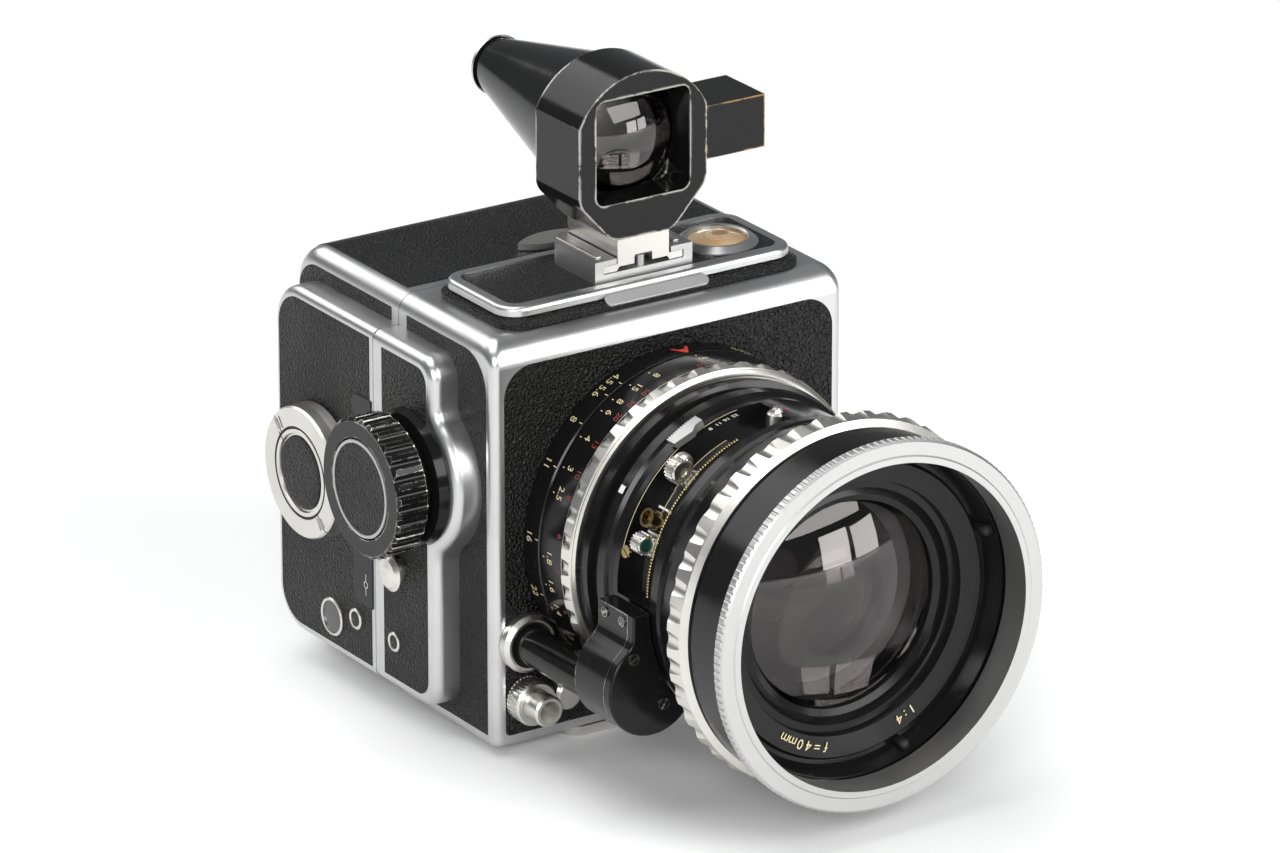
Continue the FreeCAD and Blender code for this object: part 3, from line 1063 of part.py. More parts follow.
def make_magazine():
    """The magazine's shell, the leather round it and the latch on its top."""
    outline = side_outline(MAG_FRONT, BACK, BOTTOM, TOP)
    blank = prism("magazine_blank", "x", outline, f"0 - {SIDE}", "body_width")
    soften(blank, "back_corner", back_corner)
    rolled = soften(blank, "roll_top", lambda e: abs(e.BoundBox.YMin - num(TOP)) < 0.01
                    and abs(e.tangentAt(e.FirstParameter).x) > 0.99, "rolls")
    wrap = magazine_wrap("magazine_wrap_tool")
    half = f"({SIDE} - shell_wall)"
    chamber = span("magazine_chamber", (f"0 - {half}", f"{SIDE} + 1"), (CHAMBER_FRONT, f"{BACK} - 3.2"),
                   (f"{BOTTOM} + 3.6", f"{TOP} - 3.6"))
    opening = "(frame_size / 2)"
    gate = span("magazine_gate", (f"0 - {opening}", opening), (f"{SEAM} - 2", f"{CHAMBER_FRONT} + 1"),
                (f"{LENS_Z} - {opening}", f"{LENS_Z} + {opening}"))
    slot = span("magazine_slot", ("0 - 32.5", f"{SIDE} + 1"), (f"{SEAM} + 1.5", f"{SEAM} + 2.5"),
                (f"{LENS_Z} - 31.5", f"{LENS_Z} + 31.5"))
    crank_bore = rod("magazine_crank_bore", "x", "3.05", f"0 - {SIDE} - 1", "shell_wall + 2",
                     y=CRANK_Y, z=CRANK_Z)
    latch_slot = span("magazine_latch_slot", ("0 - 5", "9"), (LATCH_Y, f"{LATCH_Y} + 4"),
                      (f"{TOP} - 3.2", f"{TOP} + 2"))
    pocket = cut("magazine_recess",
                 magazine_panel("recess_pocket", f"0 - {SIDE} - 1", "1 + leather_depth"),
                 magazine_side("recess_pocket_housing", "0", f"0 - {SIDE} - 2", "4", MAG_FRONT))
    shell = cut("magazine_shell", rolled, wrap, chamber, gate, slot, crank_bore, latch_slot, pocket)
    keep(shell, "magazine_shell")

    leather = magazine_wrap("magazine_wrap")
    latch_room = span("wrap_latch_room", ("0 - 5", "9"), (LATCH_Y, f"{LATCH_Y} + 4"),
                      (f"{TOP} - 5", f"{TOP} + 2"))
    wrap_leather = cut("magazine_top_leather", leather, latch_room)
    recess_leather = cut("magazine_recess_leather", magazine_panel(
        "recess_panel", f"0 - {SIDE} - leather_proud", "leather_proud + leather_depth"),
        magazine_side("recess_panel_housing", "0 - 0.02", f"0 - {SIDE} - 3", "8", MAG_FRONT))
    keep(group("magazine_leathers", wrap_leather, recess_leather, magazine_side_leather()),
         "magazine_leathers")

    latch = span("latch_stem", ("0 - 4.8", "4.8"), (f"{LATCH_Y} + 0.1", f"{LATCH_Y} + 3.9"),
                 (f"{TOP} - 3", f"{TOP} + 0.5"))
    head = rod("latch_head_a", "z", "12", f"{TOP} + 0.3", "1.3", y=f"{LATCH_Y} + 2 - 8.8")
    tail = rod("latch_head_b", "z", "12", f"{TOP} + 0.3", "1.3", y=f"{LATCH_Y} + 2 + 8.8")
    keep(fuse("magazine_latch", latch, common("latch_head", head, tail)), "magazine_latch")


def magazine_wrap(name):
    """The leather that runs over the magazine's top, back and the turn under its back."""
    outline = side_outline(f"{MAG_FRONT} + 2.4", f"{BACK} + leather_proud", f"{BOTTOM} + 6",
                           f"{TOP} + leather_proud")
    strip = prism(f"{name}_strip", "x", outline, f"0 - {SIDE} + 3.6", "body_width - 7.2")
    soften(strip, "back_corner", back_corner)
    inner = side_outline(f"{MAG_FRONT} - 9", f"{BACK} - leather_depth", f"{BOTTOM} - 6",
                         f"{TOP} - leather_depth")
    core = prism(f"{name}_core", "x", inner, f"0 - {SIDE} - 2", "body_width + 4")
    soften(core, "back_corner - leather_depth", back_corner)
    return cut(name, strip, core)


def magazine_panel(name, start, thickness):
    """The outline of the leather that shows round the magazine's side housing."""
    outline = side_outline(f"{MAG_FRONT} + border", f"{BACK} - housing_back - 0.2", PANEL_BOTTOM, PANEL_TOP)
    return soften(prism(name, "x", outline, start, thickness), "back_corner - border", back_corner)


def magazine_side(name, inset, start, length, front):
    """The outline of the magazine's side housing, or of its inside or leather."""
    outline = side_outline(front, f"{BACK} - housing_back - ({inset})", f"{HOUSING_LOW} + ({inset})",
                           f"{HOUSING_HIGH} - ({inset})")
    body = prism(name, "x", outline, start, length)
    return soften(body, f"back_corner - ({inset})", back_corner)


def make_magazine_side():
    block = magazine_side("mag_housing_blank", "0", STEP_OUT, "side_step", MAG_FRONT)

    def rim(edge):
        return near(edge, x=STEP_OUT) and edge.BoundBox.Center.y > num(MAG_FRONT) + 0.1

    shaped = rounded("mag_housing_rounded", block, [(rim, "1.8")])
    cavity = magazine_side("mag_housing_cavity", "2.4", f"{STEP_OUT} + housing_wall", "side_step",
                           f"{MAG_FRONT} + 2")
    pocket = magazine_side("mag_housing_pocket", "2", f"{STEP_OUT} - 1", "1.4", f"{MAG_FRONT} + 1.4")
    bore = rod("mag_housing_bore", "x", "3.05", f"{STEP_OUT} - 1", "housing_wall + 2",
               y=CRANK_Y, z=CRANK_Z)
    keep(cut("magazine_side_housing", shaped, cavity, pocket, bore), "magazine_side_housing")

    keep(group("counter_windows", window_ring("counter_window", "4", COUNTER_Y, COUNTER_Z),
               window_ring("signal_window", "2.2", SIGNAL_Y, SIGNAL_Z)), "counter_windows")


def magazine_side_leather():
    sheet_side = magazine_side("mag_side_sheet", "2", f"{STEP_OUT} - leather_proud", "leather_proud + 0.4",
                               f"{MAG_FRONT} + 1.4")
    holes = [rod(f"mag_side_hole{i}", "x", radius, f"{STEP_OUT} - 2", "4", y=y, z=z)
             for i, (y, z, radius) in enumerate([(CRANK_Y, CRANK_Z, "3.4"), (COUNTER_Y, COUNTER_Z, "4.05"),
                                                 (SIGNAL_Y, SIGNAL_Z, "2.25")])]
    return cut("magazine_side_leather", sheet_side, *holes)


def window_ring(name, radius, y, z):
    """A bright ring round a sunken disc, let into a side housing."""
    inner = f"({radius}) * 0.7"
    return turned(name, "x", [
        (f"{STEP_OUT} + 0.4", "0"), (f"{STEP_OUT} + 0.4", radius), (f"{STEP_OUT} - 0.3", radius),
        (f"{STEP_OUT} - 0.5", f"({radius}) - 0.2"), (f"{STEP_OUT} - 0.5", f"{inner} + 0.1"),
        (f"{STEP_OUT} - 0.3", inner), (f"{STEP_OUT} + 0.1", inner), (f"{STEP_OUT} + 0.1", "0")], y=y, z=z)


def make_crank():
    face = f"(0 - {SIDE} - crank_reach)"
    disc = turned("crank_disc", "x", [
        (f"{face} + 0.5", "0"), (f"{face} + 0.5", "7.9"), (face, "8.1"), (face, "8.9"),
        (f"{face} + 0.2", "9.1"),
        (f"{face} + 2.5", "9.1"), (f"{face} + 2.5", "crank_radius - 0.2"),
        (f"{STEP_OUT} - 0.5", "crank_radius"),
        (f"{STEP_OUT} - 0.3", "crank_radius - 0.3"), (f"{STEP_OUT} - 0.3", "3"),
        (f"0 - {SIDE} + 1", "3"), (f"0 - {SIDE} + 1", "0")], y=CRANK_Y, z=CRANK_Z)
    ring = crank_ring("crank_ring_fixed", face, "2.5")
    fixed_half = cut("crank_fixed_half", ring, half_space("crank_gap", face, 0))
    bores = crank_pins("crank_pin_bore", face, "0.5")
    keep(cut("film_crank", fuse("crank_solid", disc, fixed_half), bores), "film_crank")
    ring = crank_ring("crank_ring_moving", face, "2.3")
    moving_half = common("crank_moving_half", ring, half_space("crank_handle_side", face, CRANK_GAP))
    pins = crank_pins("crank_pin", face, "0.4")
    keep(fuse("crank_handle", moving_half, pins), "crank_handle")


def along_fold(distance, below):
    """y and z of a point on the winder, by distance along the fold line and depth below it."""
    return (f"{CRANK_Y} + cos({FOLD_LEAN} deg) * ({distance}) + sin({FOLD_LEAN} deg) * ({below})",
            f"{CRANK_Z} + sin({FOLD_LEAN} deg) * ({distance}) - cos({FOLD_LEAN} deg) * ({below})")


def crank_pins(name, face, radius):
    """The two hinge pins of the folding handle, or their bores."""
    pins = []
    for i, start in enumerate(("10.3", "0 - 12.5")):
        y, z = along_fold(start, CRANK_GAP)
        pin = rod(f"{name}{i}", "y", radius, y, "2.2", x=face, z=z)
        pin.Placement.Rotation = Rotation(X_AXIS, FOLD_LEAN).multiply(FACING["y"])
        pins.append(pin)
    return group(f"{name}s", *pins)


def crank_ring(name, face, thickness):
    back = f"{face} + {thickness}"
    return turned(name, "x", [
        (face, "9.5"), (face, "crank_radius - 0.5"), (f"{face} + 0.5", "crank_radius - 0.2"),
        (back, "crank_radius - 0.2"), (back, "9.5")], y=CRANK_Y, z=CRANK_Z)


def half_space(name, face, gap):
    """The half of the winder's face below the handle's fold line."""
    y, z = along_fold("0 - 20", "20")
    half = box(name, f"{face} - 1", y, z, "3.5", "40", f"20 - {gap}")
    half.Placement.Rotation = Rotation(X_AXIS, FOLD_LEAN)
    return half


def make_insert():
    half = f"({SIDE} - shell_wall - 0.4)"
    y0, y1 = f"{CHAMBER_FRONT} + 0.3", f"{BACK} - 3.6"
    z0, z1 = f"{BOTTOM} + 4", f"{TOP} - 4"
    door = span("insert_door", (f"{SIDE} - 3.2", f"{SIDE} - 0.1"), (y0, y1), (z0, z1))
    inner = span("insert_inner", (f"0 - {half}", f"0 - {half} + 1.6"), (y0, y1), (z0, z1))
    web = span("insert_web", (f"0 - {half}", SPINE_END), (f"{SEAM} + 8.5", f"{SEAM} + 10.2"),
               (f"{LENS_Z} - 14", f"{LENS_Z} + 14"))
    floor = span("insert_floor", (f"0 - {half}", SPINE_END), (f"{SEAM} + 8.5", f"{BACK} - 3.6"),
                 (f"{LENS_Z} - 1", f"{LENS_Z} + 0.6"))
    pins = [rod(f"spool_pin{i}", "x", "3", start, length, y=SPOOL_Y, z=z)
            for i, (start, length, z) in enumerate(
                (start, length, z) for z in SPOOL_HEIGHTS
                for start, length in ((f"0 - {half} + 0.5", f"{half} - spool_length / 2 - 0.5"),
                                      ("spool_length / 2", f"{SPINE_END} - spool_length / 2 + 0.5")))]
    key_bore = rod("insert_key_bore", "x", "3.05", f"{SIDE} - 4", "5", y=CRANK_Y, z=LENS_Z)
    keep(cut("film_insert", fuse("insert_solid", door, inner, web, floor, *pins), key_bore), "film_insert")

    spools = []
    for i, z in enumerate(SPOOL_HEIGHTS):
        x0, x1 = "0 - spool_length / 2", "spool_length / 2"
        spools.append(turned(f"spool{i}", "x", [
            (x0, "0"), (x0, "spool_radius"), (f"{x0} + 1.2", "spool_radius"), (f"{x0} + 1.2", "6"),
            (f"{x1} - 1.2", "6"), (f"{x1} - 1.2", "spool_radius"), (x1, "spool_radius"), (x1, "0")],
            y=SPOOL_Y, z=z))
    keep(group("film_spools", *spools), "film_spools")
    pressure = span("pressure_plate", ("0 - 31", "31"), (f"{CHAMBER_FRONT} + 0.6", f"{CHAMBER_FRONT} + 2.2"),
                    (f"{LENS_Z} - 29", f"{LENS_Z} + 29"))
    post = span("pressure_post", ("0 - 6", "6"), (f"{CHAMBER_FRONT} + 2", f"{SEAM} + 8.5"),
                (f"{LENS_Z} - 6", f"{LENS_Z} + 6"))
    keep(fuse("pressure_plate_post", pressure, post), "pressure_plate")

    key = turned("key_disc", "x", [
        (f"{SIDE} + 1.6", "0"), (f"{SIDE} + 1.6", "8.6"), (f"{SIDE} + 1.1", "9"), (f"{SIDE} + 0.3", "9"),
        (f"{SIDE} + 0.3", "3"), (f"{SIDE} - 3.6", "3"), (f"{SIDE} - 3.6", "0")], y=CRANK_Y, z=LENS_Z)
    grip = span("key_grip", (f"{SIDE} + 1.5", f"{SIDE} + 4.4"), (f"{CRANK_Y} - 1.1", f"{CRANK_Y} + 1.1"),
                (f"{LENS_Z} - 7.6", f"{LENS_Z} + 7.6"))
    keep(fuse("insert_key", key, grip), "insert_key")

    blade = span("slide_blade", ("0 - 32", f"{SIDE} + 1"), (f"{SEAM} + 1.75", f"{SEAM} + 2.25"),
                 (f"{LENS_Z} - 31", f"{LENS_Z} + 31"))
    bar = span("slide_bar", (f"{SIDE} + 0.4", f"{SIDE} + 2.2"), (f"{SEAM} + 0.9", f"{SEAM} + 3.1"),
               (f"{LENS_Z} - 31", f"{LENS_Z} + 31"))
    loop = span("slide_loop", (f"{SIDE} + 2", f"{SIDE} + 11"), (f"{SEAM} + 1.2", f"{SEAM} + 2.8"),
                (f"{LENS_Z} - 12", f"{LENS_Z} + 12"))
    eye = span("slide_eye", (f"{SIDE} + 3.2", f"{SIDE} + 9"), (f"{SEAM}", f"{SEAM} + 4"),
               (f"{LENS_Z} - 9.8", f"{LENS_Z} + 9.8"))
    keep(cut("dark_slide", fuse("slide_solid", blade, bar, loop), eye), "dark_slide")


def finish():
    doc.recompute()
    problems = []
    for item in doc.Objects:
        if "Invalid" in item.State or "Error" in item.State:
            problems.append(f"{item.Label}: {item.State}")
    for node, item in parts.items():
        shape = item.Shape
        if shape.isNull() or not shape.isValid() or not shape.Solids:
            problems.append(f"{node}: bad shape")
    if problems:
        raise RuntimeError("\n".join(problems))
    os.makedirs("parts", exist_ok=True)
    for node, item in parts.items():
        item.Shape.exportStep(f"parts/{node}.step")
        print(f"{node:24s} solids {len(item.Shape.Solids):2d}  volume {item.Shape.Volume:10.1f}")
    print(len(parts), "nodes")


for make in (make_body_shell, make_leathers, make_side_housing, make_top, make_level, make_shoe,
             make_studs, make_base, make_light_box, make_knob, make_flange, make_focus,
             make_shutter_case, make_barrel, make_glass, make_blades, make_controls, make_linkage,
             make_release, make_finder, make_magazine, make_magazine_side, make_crank, make_insert):
    make()
finish()
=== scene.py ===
import json
import math

import bmesh
import bpy
from mathutils import Matrix, Vector


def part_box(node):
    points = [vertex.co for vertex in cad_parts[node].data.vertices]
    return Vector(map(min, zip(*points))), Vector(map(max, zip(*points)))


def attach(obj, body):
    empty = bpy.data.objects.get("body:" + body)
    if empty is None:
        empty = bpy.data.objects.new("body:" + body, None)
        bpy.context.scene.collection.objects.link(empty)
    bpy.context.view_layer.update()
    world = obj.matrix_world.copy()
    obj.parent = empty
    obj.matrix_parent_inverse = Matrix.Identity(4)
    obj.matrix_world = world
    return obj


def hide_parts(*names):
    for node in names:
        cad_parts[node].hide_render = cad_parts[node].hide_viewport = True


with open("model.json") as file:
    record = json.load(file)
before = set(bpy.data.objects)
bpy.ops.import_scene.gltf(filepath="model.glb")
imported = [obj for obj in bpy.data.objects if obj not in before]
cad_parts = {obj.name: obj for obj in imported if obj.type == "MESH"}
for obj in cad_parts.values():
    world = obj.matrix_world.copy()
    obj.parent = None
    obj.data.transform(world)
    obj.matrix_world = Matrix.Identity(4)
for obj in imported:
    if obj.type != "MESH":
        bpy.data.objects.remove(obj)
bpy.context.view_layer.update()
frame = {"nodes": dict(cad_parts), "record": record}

MM = 0.001

# ---------------------------------------------------------------- places, all worked out from the frame


def low(node):
    return Vector(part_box(node)[0])


def high(node):
    return Vector(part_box(node)[1])


def middle(node):
    return (low(node) + high(node)) / 2


FRONT_Y = low("body_shell").y
LENS_Z = middle("front_rim").z
PANEL_X = low("side_leathers").x
LEFT, FORWARD, UP = Vector((-1, 0, 0)), Vector((0, -1, 0)), Vector((0, 0, 1))


def ahead(node):
    """How far a node's front stands ahead of the body's front face, in mm."""
    return (FRONT_Y - low(node).y) / MM


def reach(node):
    """A lens ring's outer radius, in mm."""
    return high(node).x / MM


def spoke(angle):
    """Straight out from the lens axis, at an angle in degrees from +X towards +Z."""
    return Vector((math.cos(math.radians(angle)), 0, math.sin(math.radians(angle))))


def on_lens(angle, distance, radius):
    """A point about the lens axis, distance mm ahead of the body's front and radius mm out."""
    return Vector((0, FRONT_Y, LENS_Z)) + (FORWARD * distance + spoke(angle) * radius) * MM


def facing(spot, out, up=UP):
    """A local frame in mm at a spot, whose Z points out and whose Y points up as nearly as it can."""
    out = Vector(out).normalized()
    upward = (Vector(up) - out * out.dot(up)).normalized()
    turn = Matrix((upward.cross(out), upward, out)).transposed().to_4x4()
    return Matrix.Translation(spot) @ turn @ Matrix.Scale(MM, 4)


def beside_lens(angle, distance, radius):
    """A local frame that stands out of a lens ring: X round it, Y forward and Z outward."""
    return facing(on_lens(angle, distance, radius), spoke(angle), FORWARD)


def along_lens(distance):
    """A local frame on the lens axis with Z forward."""
    return facing(on_lens(0, distance, 0), FORWARD)


# ---------------------------------------------------------------- materials

class Graph:
    """A short way to build a material's nodes."""

    def __init__(self, name):
        self.material = bpy.data.materials.new(name)
        self.material.use_nodes = True
        self.tree = self.material.node_tree
        self.shader = self.tree.nodes["Principled BSDF"]
        self.coords = self.node("ShaderNodeTexCoord").outputs["Object"]

    def node(self, kind, **settings):
        made = self.tree.nodes.new(kind)
        for key, value in settings.items():
            setattr(made, key, value)
        return made

    def plug(self, source, node, socket):
        if isinstance(source, (int, float, tuple)):
            node.inputs[socket].default_value = source
        else:
            self.tree.links.new(source, node.inputs[socket])

    def stretched(self, scale):
        mapping = self.node("ShaderNodeMapping")
        self.plug(self.coords, mapping, "Vector")
        mapping.inputs["Scale"].default_value = scale
        return mapping.outputs["Vector"]

    def noise(self, scale, detail, rough=0.5, vector=None):
        made = self.node("ShaderNodeTexNoise")
        self.plug(vector or self.coords, made, "Vector")
        self.plug(scale, made, "Scale")
        self.plug(detail, made, "Detail")
        self.plug(rough, made, "Roughness")
        return made.outputs["Fac"]

    def pebbles(self, scale, vector, feature="F1"):
        made = self.node("ShaderNodeTexVoronoi", feature=feature)
        self.plug(vector, made, "Vector")
        self.plug(scale, made, "Scale")
        return made.outputs["Distance"]

    def math(self, operation, a, b, c=0.0):
        made = self.node("ShaderNodeMath", operation=operation)
        for i, value in enumerate((a, b, c)):
            self.plug(value, made, i)
        return made.outputs[0]

    def spread(self, source, start, end, to_start=0.0, to_end=1.0):
        made = self.node("ShaderNodeMapRange", interpolation_type="SMOOTHSTEP")
        for socket, value in (("Value", source), ("From Min", start), ("From Max", end),
                              ("To Min", to_start), ("To Max", to_end)):
            self.plug(value, made, socket)
        return made.outputs["Result"]

    def mix(self, fac, a, b):
        made = self.node("ShaderNodeMix", data_type="RGBA")
        self.plug(fac, made, 0)
        self.plug(a, made, 6)
        self.plug(b, made, 7)
        return made.outputs[2]

    def bump(self, height, strength, distance):
        made = self.node("ShaderNodeBump")
        self.plug(height, made, "Height")
        self.plug(strength, made, "Strength")
        self.plug(distance, made, "Distance")
        return made.outputs["Normal"]

    def edges(self, radius):
        """Above 0 on sharp edges, from how far a bevel would turn the surface there."""
        bevel = self.node("ShaderNodeBevel", samples=4)
        bevel.inputs["Radius"].default_value = radius
        geometry = self.node("ShaderNodeNewGeometry")
        dot = self.node("ShaderNodeVectorMath", operation="DOT_PRODUCT")
        self.plug(bevel.outputs["Normal"], dot, 0)
        self.plug(geometry.outputs["Normal"], dot, 1)
        return self.math("SUBTRACT", 1.0, dot.outputs["Value"])

    def set(self, **values):
        for key, value in values.items():
            self.plug(value, self.shader, key.replace("_", " "))
        return self


def scaled(colour, factor):
    return tuple(min(channel * factor, 1.0) for channel in colour[:3]) + (1,)


# The leather's own black, and a far darker black painted into its creases as shade.
CREASE_SHADE_BLACK = (0.0045, 0.0043, 0.0040, 1)
GRAIN_BLACK = (0.021, 0.020, 0.019, 1)


def leather(name, cell, depth, gloss):
    """Black pebbled leather: rounded grains of about cell mm between fine creases, with painted shade
    darkening the creases.
    """
    g = Graph(name)
    wobble = g.node("ShaderNodeTexNoise")
    g.plug(g.coords, wobble, "Vector")
    g.plug(900.0, wobble, "Scale")
    shift = g.node("ShaderNodeVectorMath", operation="MULTIPLY_ADD")
    g.plug(wobble.outputs["Color"], shift, 0)
    shift.inputs[1].default_value = (0.45 * MM,) * 3
    g.plug(g.coords, shift, 2)
    wandering = shift.outputs[0]
    dome = g.spread(g.pebbles(1000.0 / cell, wandering, "DISTANCE_TO_EDGE"), 0.0, 0.34)
    fine = g.spread(g.pebbles(1000.0 / (cell * 0.42), wandering), 0.1, 0.7, 1.0, 0.0)
    height = g.math("MULTIPLY_ADD", fine, 0.34, g.math("MULTIPLY", dome, g.noise(700.0, 2)))
    # Painted shade: the colour runs from the grain's own black down to near-black in the creases.
    crease_shaded_colour = g.mix(g.math("MULTIPLY", g.spread(height, 0.35, 0.9), 0.6), CREASE_SHADE_BLACK, GRAIN_BLACK)
    patches = g.noise(45.0, 3)
    g.set(Base_Color=crease_shaded_colour, Roughness=g.spread(patches, 0.3, 0.7, gloss - 0.06, gloss + 0.08),
          Normal=g.bump(height, 1.0, depth * MM))
    g.shader.inputs["Specular IOR Level"].default_value = 0.30
    return g.material


def metal(name, colour, rough=(0.16, 0.30), grain=(90, 2400, 2400), scratch=0.10, grime=0.35):
    """Plated or bare metal: fine brushing, duller patches and small dark spots."""
    g = Graph(name)
    brushed = g.noise(1.0, 5, 0.7, g.stretched(grain))
    patches = g.noise(55.0, 5, 0.6)
    marks = g.noise(420.0, 6, 0.75)
    dull = g.spread(patches, 0.38, 0.7)
    spots = g.spread(marks, 0.62, 0.74)
    dark = g.math("MULTIPLY", g.math("ADD", g.math("MULTIPLY", dull, 0.35), spots), grime)
    g.set(Base_Color=g.mix(dark, colour, scaled(colour, 0.45)),
          Roughness=g.spread(g.math("MULTIPLY_ADD", brushed, 0.35, patches), 0.4, 1.0, *rough),
          Normal=g.bump(g.math("ADD", brushed, g.math("MULTIPLY", marks, 0.4)), scratch, 0.05 * MM))
    g.shader.inputs["Metallic"].default_value = 1.0
    return g.material


def enamel(name, rough, colour=(0.006, 0.006, 0.006, 1), wear=0.0, edge=0.35,
           bare=(0.66, 0.64, 0.60, 1)):
    """Gloss black over metal. Wear from 0 to 1 shows the bare metal in chips within edge mm of an edge."""
    g = Graph(name)
    dust = g.noise(900.0, 3, 0.6)
    smears = g.noise(80.0, 4, 0.6)
    roughness = g.spread(smears, 0.3, 0.75, rough * 0.75, rough * 1.4)
    base = g.mix(g.spread(dust, 0.62, 0.8), colour, tuple(c + 0.012 for c in colour[:3]) + (1,))
    if wear:
        chips = g.math("MULTIPLY", g.noise(600.0, 5, 0.75), g.noise(110.0, 2))
        rubbed = g.math("MULTIPLY", g.spread(chips, 0.18, 0.36, 0.15, 1.5), g.edges(edge * MM))
        threshold = 0.16 - wear * 0.12
        worn = g.spread(rubbed, threshold, threshold + 0.02)
        base = g.mix(worn, base, bare)
        g.set(Metallic=worn)
        roughness = g.math("MULTIPLY_ADD", worn, 0.12, roughness)
    g.set(Base_Color=base, Roughness=roughness, Normal=g.bump(dust, 0.04, 0.03 * MM))
    g.shader.inputs["Specular IOR Level"].default_value = 0.26
    return g.material


def matt(name, colour=(0.008, 0.008, 0.008, 1), rough=0.5):
    """Dull black paint with a fine speckle."""
    g = Graph(name)
    speck = g.noise(1500.0, 4, 0.6)
    g.set(Base_Color=g.mix(speck, colour, scaled(colour, 2)),
          Roughness=g.spread(g.noise(120.0, 3), 0.3, 0.7, rough - 0.1, rough + 0.1),
          Normal=g.bump(speck, 0.15, 0.03 * MM))
    return g.material


def glass(name, tint, coat):
    """Coated glass: the tint darkens what is seen through it, and the coat colours its reflections."""
    g = Graph(name)
    g.set(Base_Color=tint, Roughness=g.spread(g.noise(70.0, 4, 0.6), 0.55, 0.8, 0.0, 0.02))
    g.shader.inputs["Transmission Weight"].default_value = 1.0
    g.shader.inputs["IOR"].default_value = 1.62
    g.shader.inputs["Specular Tint"].default_value = coat
    return g.material


def paint(name, colour, rough=0.45):
    """Filled-in paint, for figures and marks."""
    g = Graph(name)
    g.set(Base_Color=g.mix(g.noise(2200.0, 3), scaled(colour, 0.75), colour), Roughness=rough)
    return g.material


def amber(name):
    """The spirit level's coloured fluid over a turned metal cup."""
    g = Graph(name)
    swirl = g.noise(120.0, 3)
    g.set(Base_Color=g.mix(g.spread(swirl, 0.3, 0.7), (0.55, 0.34, 0.15, 1), (0.78, 0.56, 0.33, 1)),
          Roughness=g.spread(swirl, 0.3, 0.7, 0.08, 0.2))
    g.shader.inputs["Coat Weight"].default_value = 1.0
    g.shader.inputs["Coat Roughness"].default_value = 0.03
    return g.material


EVEN = (1500, 1500, 1500)
MATERIALS = {
    "bright_metal": metal("bright_metal", (0.58, 0.58, 0.58, 1), rough=(0.28, 0.42), scratch=0.07,
                          grime=0.3),
    "satin_chrome": metal("satin_chrome", (0.66, 0.65, 0.61, 1), rough=(0.26, 0.38), grain=EVEN,
                          scratch=0.05, grime=0.16),
    "steel": metal("steel", (0.45, 0.45, 0.44, 1)),
    "blade_steel": metal("blade_steel", (0.10, 0.10, 0.10, 1)),
    "black_leather": leather("black_leather", cell=0.95, depth=0.6, gloss=0.38),
    "black_enamel": enamel("black_enamel", rough=0.12),
    "lens_black": enamel("lens_black", rough=0.16),
    "matt_black": matt("matt_black"),
    "lens_glass": glass("lens_glass", (0.32, 0.30, 0.295, 1), (1.0, 0.95, 0.95, 1)),
    "level_amber": amber("level_amber"),
    "brass_fitting": metal("brass_fitting", (0.46, 0.37, 0.19, 1), scratch=0.04, grime=0.2),
    "spool_plastic": enamel("spool_plastic", rough=0.3),
}
FRONT_GRAIN = leather("front_grain", cell=1.1, depth=0.75, gloss=0.32)
WORN = enamel("worn_enamel", rough=0.13, wear=0.75, edge=0.9)
BRASSY = enamel("brassy_enamel", rough=0.2, wear=0.45, edge=0.7, bare=(0.55, 0.33, 0.14, 1))
RUBBED = enamel("rubbed_enamel", rough=0.16, wear=0.35, edge=0.5)
WHITE_METAL = metal("white_metal", (0.50, 0.50, 0.495, 1), rough=(0.40, 0.52), grain=EVEN,
                    scratch=0.03, grime=0.1)
CREAM = paint("cream_paint", (0.72, 0.62, 0.36, 1))
WHITE = paint("white_paint", (0.80, 0.80, 0.78, 1))
RED = paint("red_paint", (0.62, 0.05, 0.03, 1))
DULL_RED = paint("dull_red_paint", (0.26, 0.045, 0.03, 1))
GREEN = paint("green_paint", (0.005, 0.045, 0.032, 1), 0.2)
# Near-black matt laid as painted shade in gaps, cuts, notches, window insides and the shutter recess floor.
GAP_SHADE = matt("painted_gap_shade", (0.003, 0.003, 0.003, 1), 0.6)
GREY_GLASS = enamel("window_glass", rough=0.08, colour=(0.10, 0.10, 0.10, 1))
BUBBLE = glass("bubble_glass", (1, 0.95, 0.85, 1), (1, 1, 1, 1))
SPECIAL = {
    "front_leather": FRONT_GRAIN,
    "finder_hood": WORN,
    "level_prism": BRASSY,
    "advance_knob": RUBBED,
    "linkage_bracket": RUBBED,
    "front_rim": WHITE_METAL,
    "accessory_shoe": WHITE_METAL,
}


def dress():
    """Gives each CAD node its material."""
    slots = {row["node"]: row["material_slot"] for row in frame["record"]["subparts"]}
    for node, item in frame["nodes"].items():
        for place in item.material_slots:
            place.material = SPECIAL.get(node, MATERIALS[slots[node]])
        for face in item.data.polygons:
            face.use_smooth = True


# ---------------------------------------------------------------- shapes, in mm in a local frame

INK = 0.035
CREASE = math.radians(35)
SLOT_HALF_WIDTH = 0.16
CAPITAL_HEIGHT = 0.7


def piece(name, shape, place, body, slot, made=None, bevel=0.0, stands_for=()):
    """Turns a shape into a piece on a body. Place is its local frame, or None for a shape in metres."""
    if place:
        shape.transform(place)
    bmesh.ops.remove_doubles(shape, verts=shape.verts, dist=0.002 * MM)
    bmesh.ops.recalc_face_normals(shape, faces=shape.faces)
    for edge in shape.edges:
        edge.smooth = edge.calc_face_angle(math.pi) < CREASE
    mesh = bpy.data.meshes.new(name)
    shape.to_mesh(mesh)
    shape.free()
    for face in mesh.polygons:
        face.use_smooth = True
    mesh.materials.append(made or MATERIALS[slot])
    item = bpy.data.objects.new(name, mesh)
    bpy.context.collection.objects.link(item)
    if bevel:
        soft = item.modifiers.new("soft_edges", "BEVEL")
        soft.width = bevel * MM
        soft.segments = 2
        soft.limit_method = "ANGLE"
    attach(item, body)
    if stands_for:
        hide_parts(*stands_for)
    return item


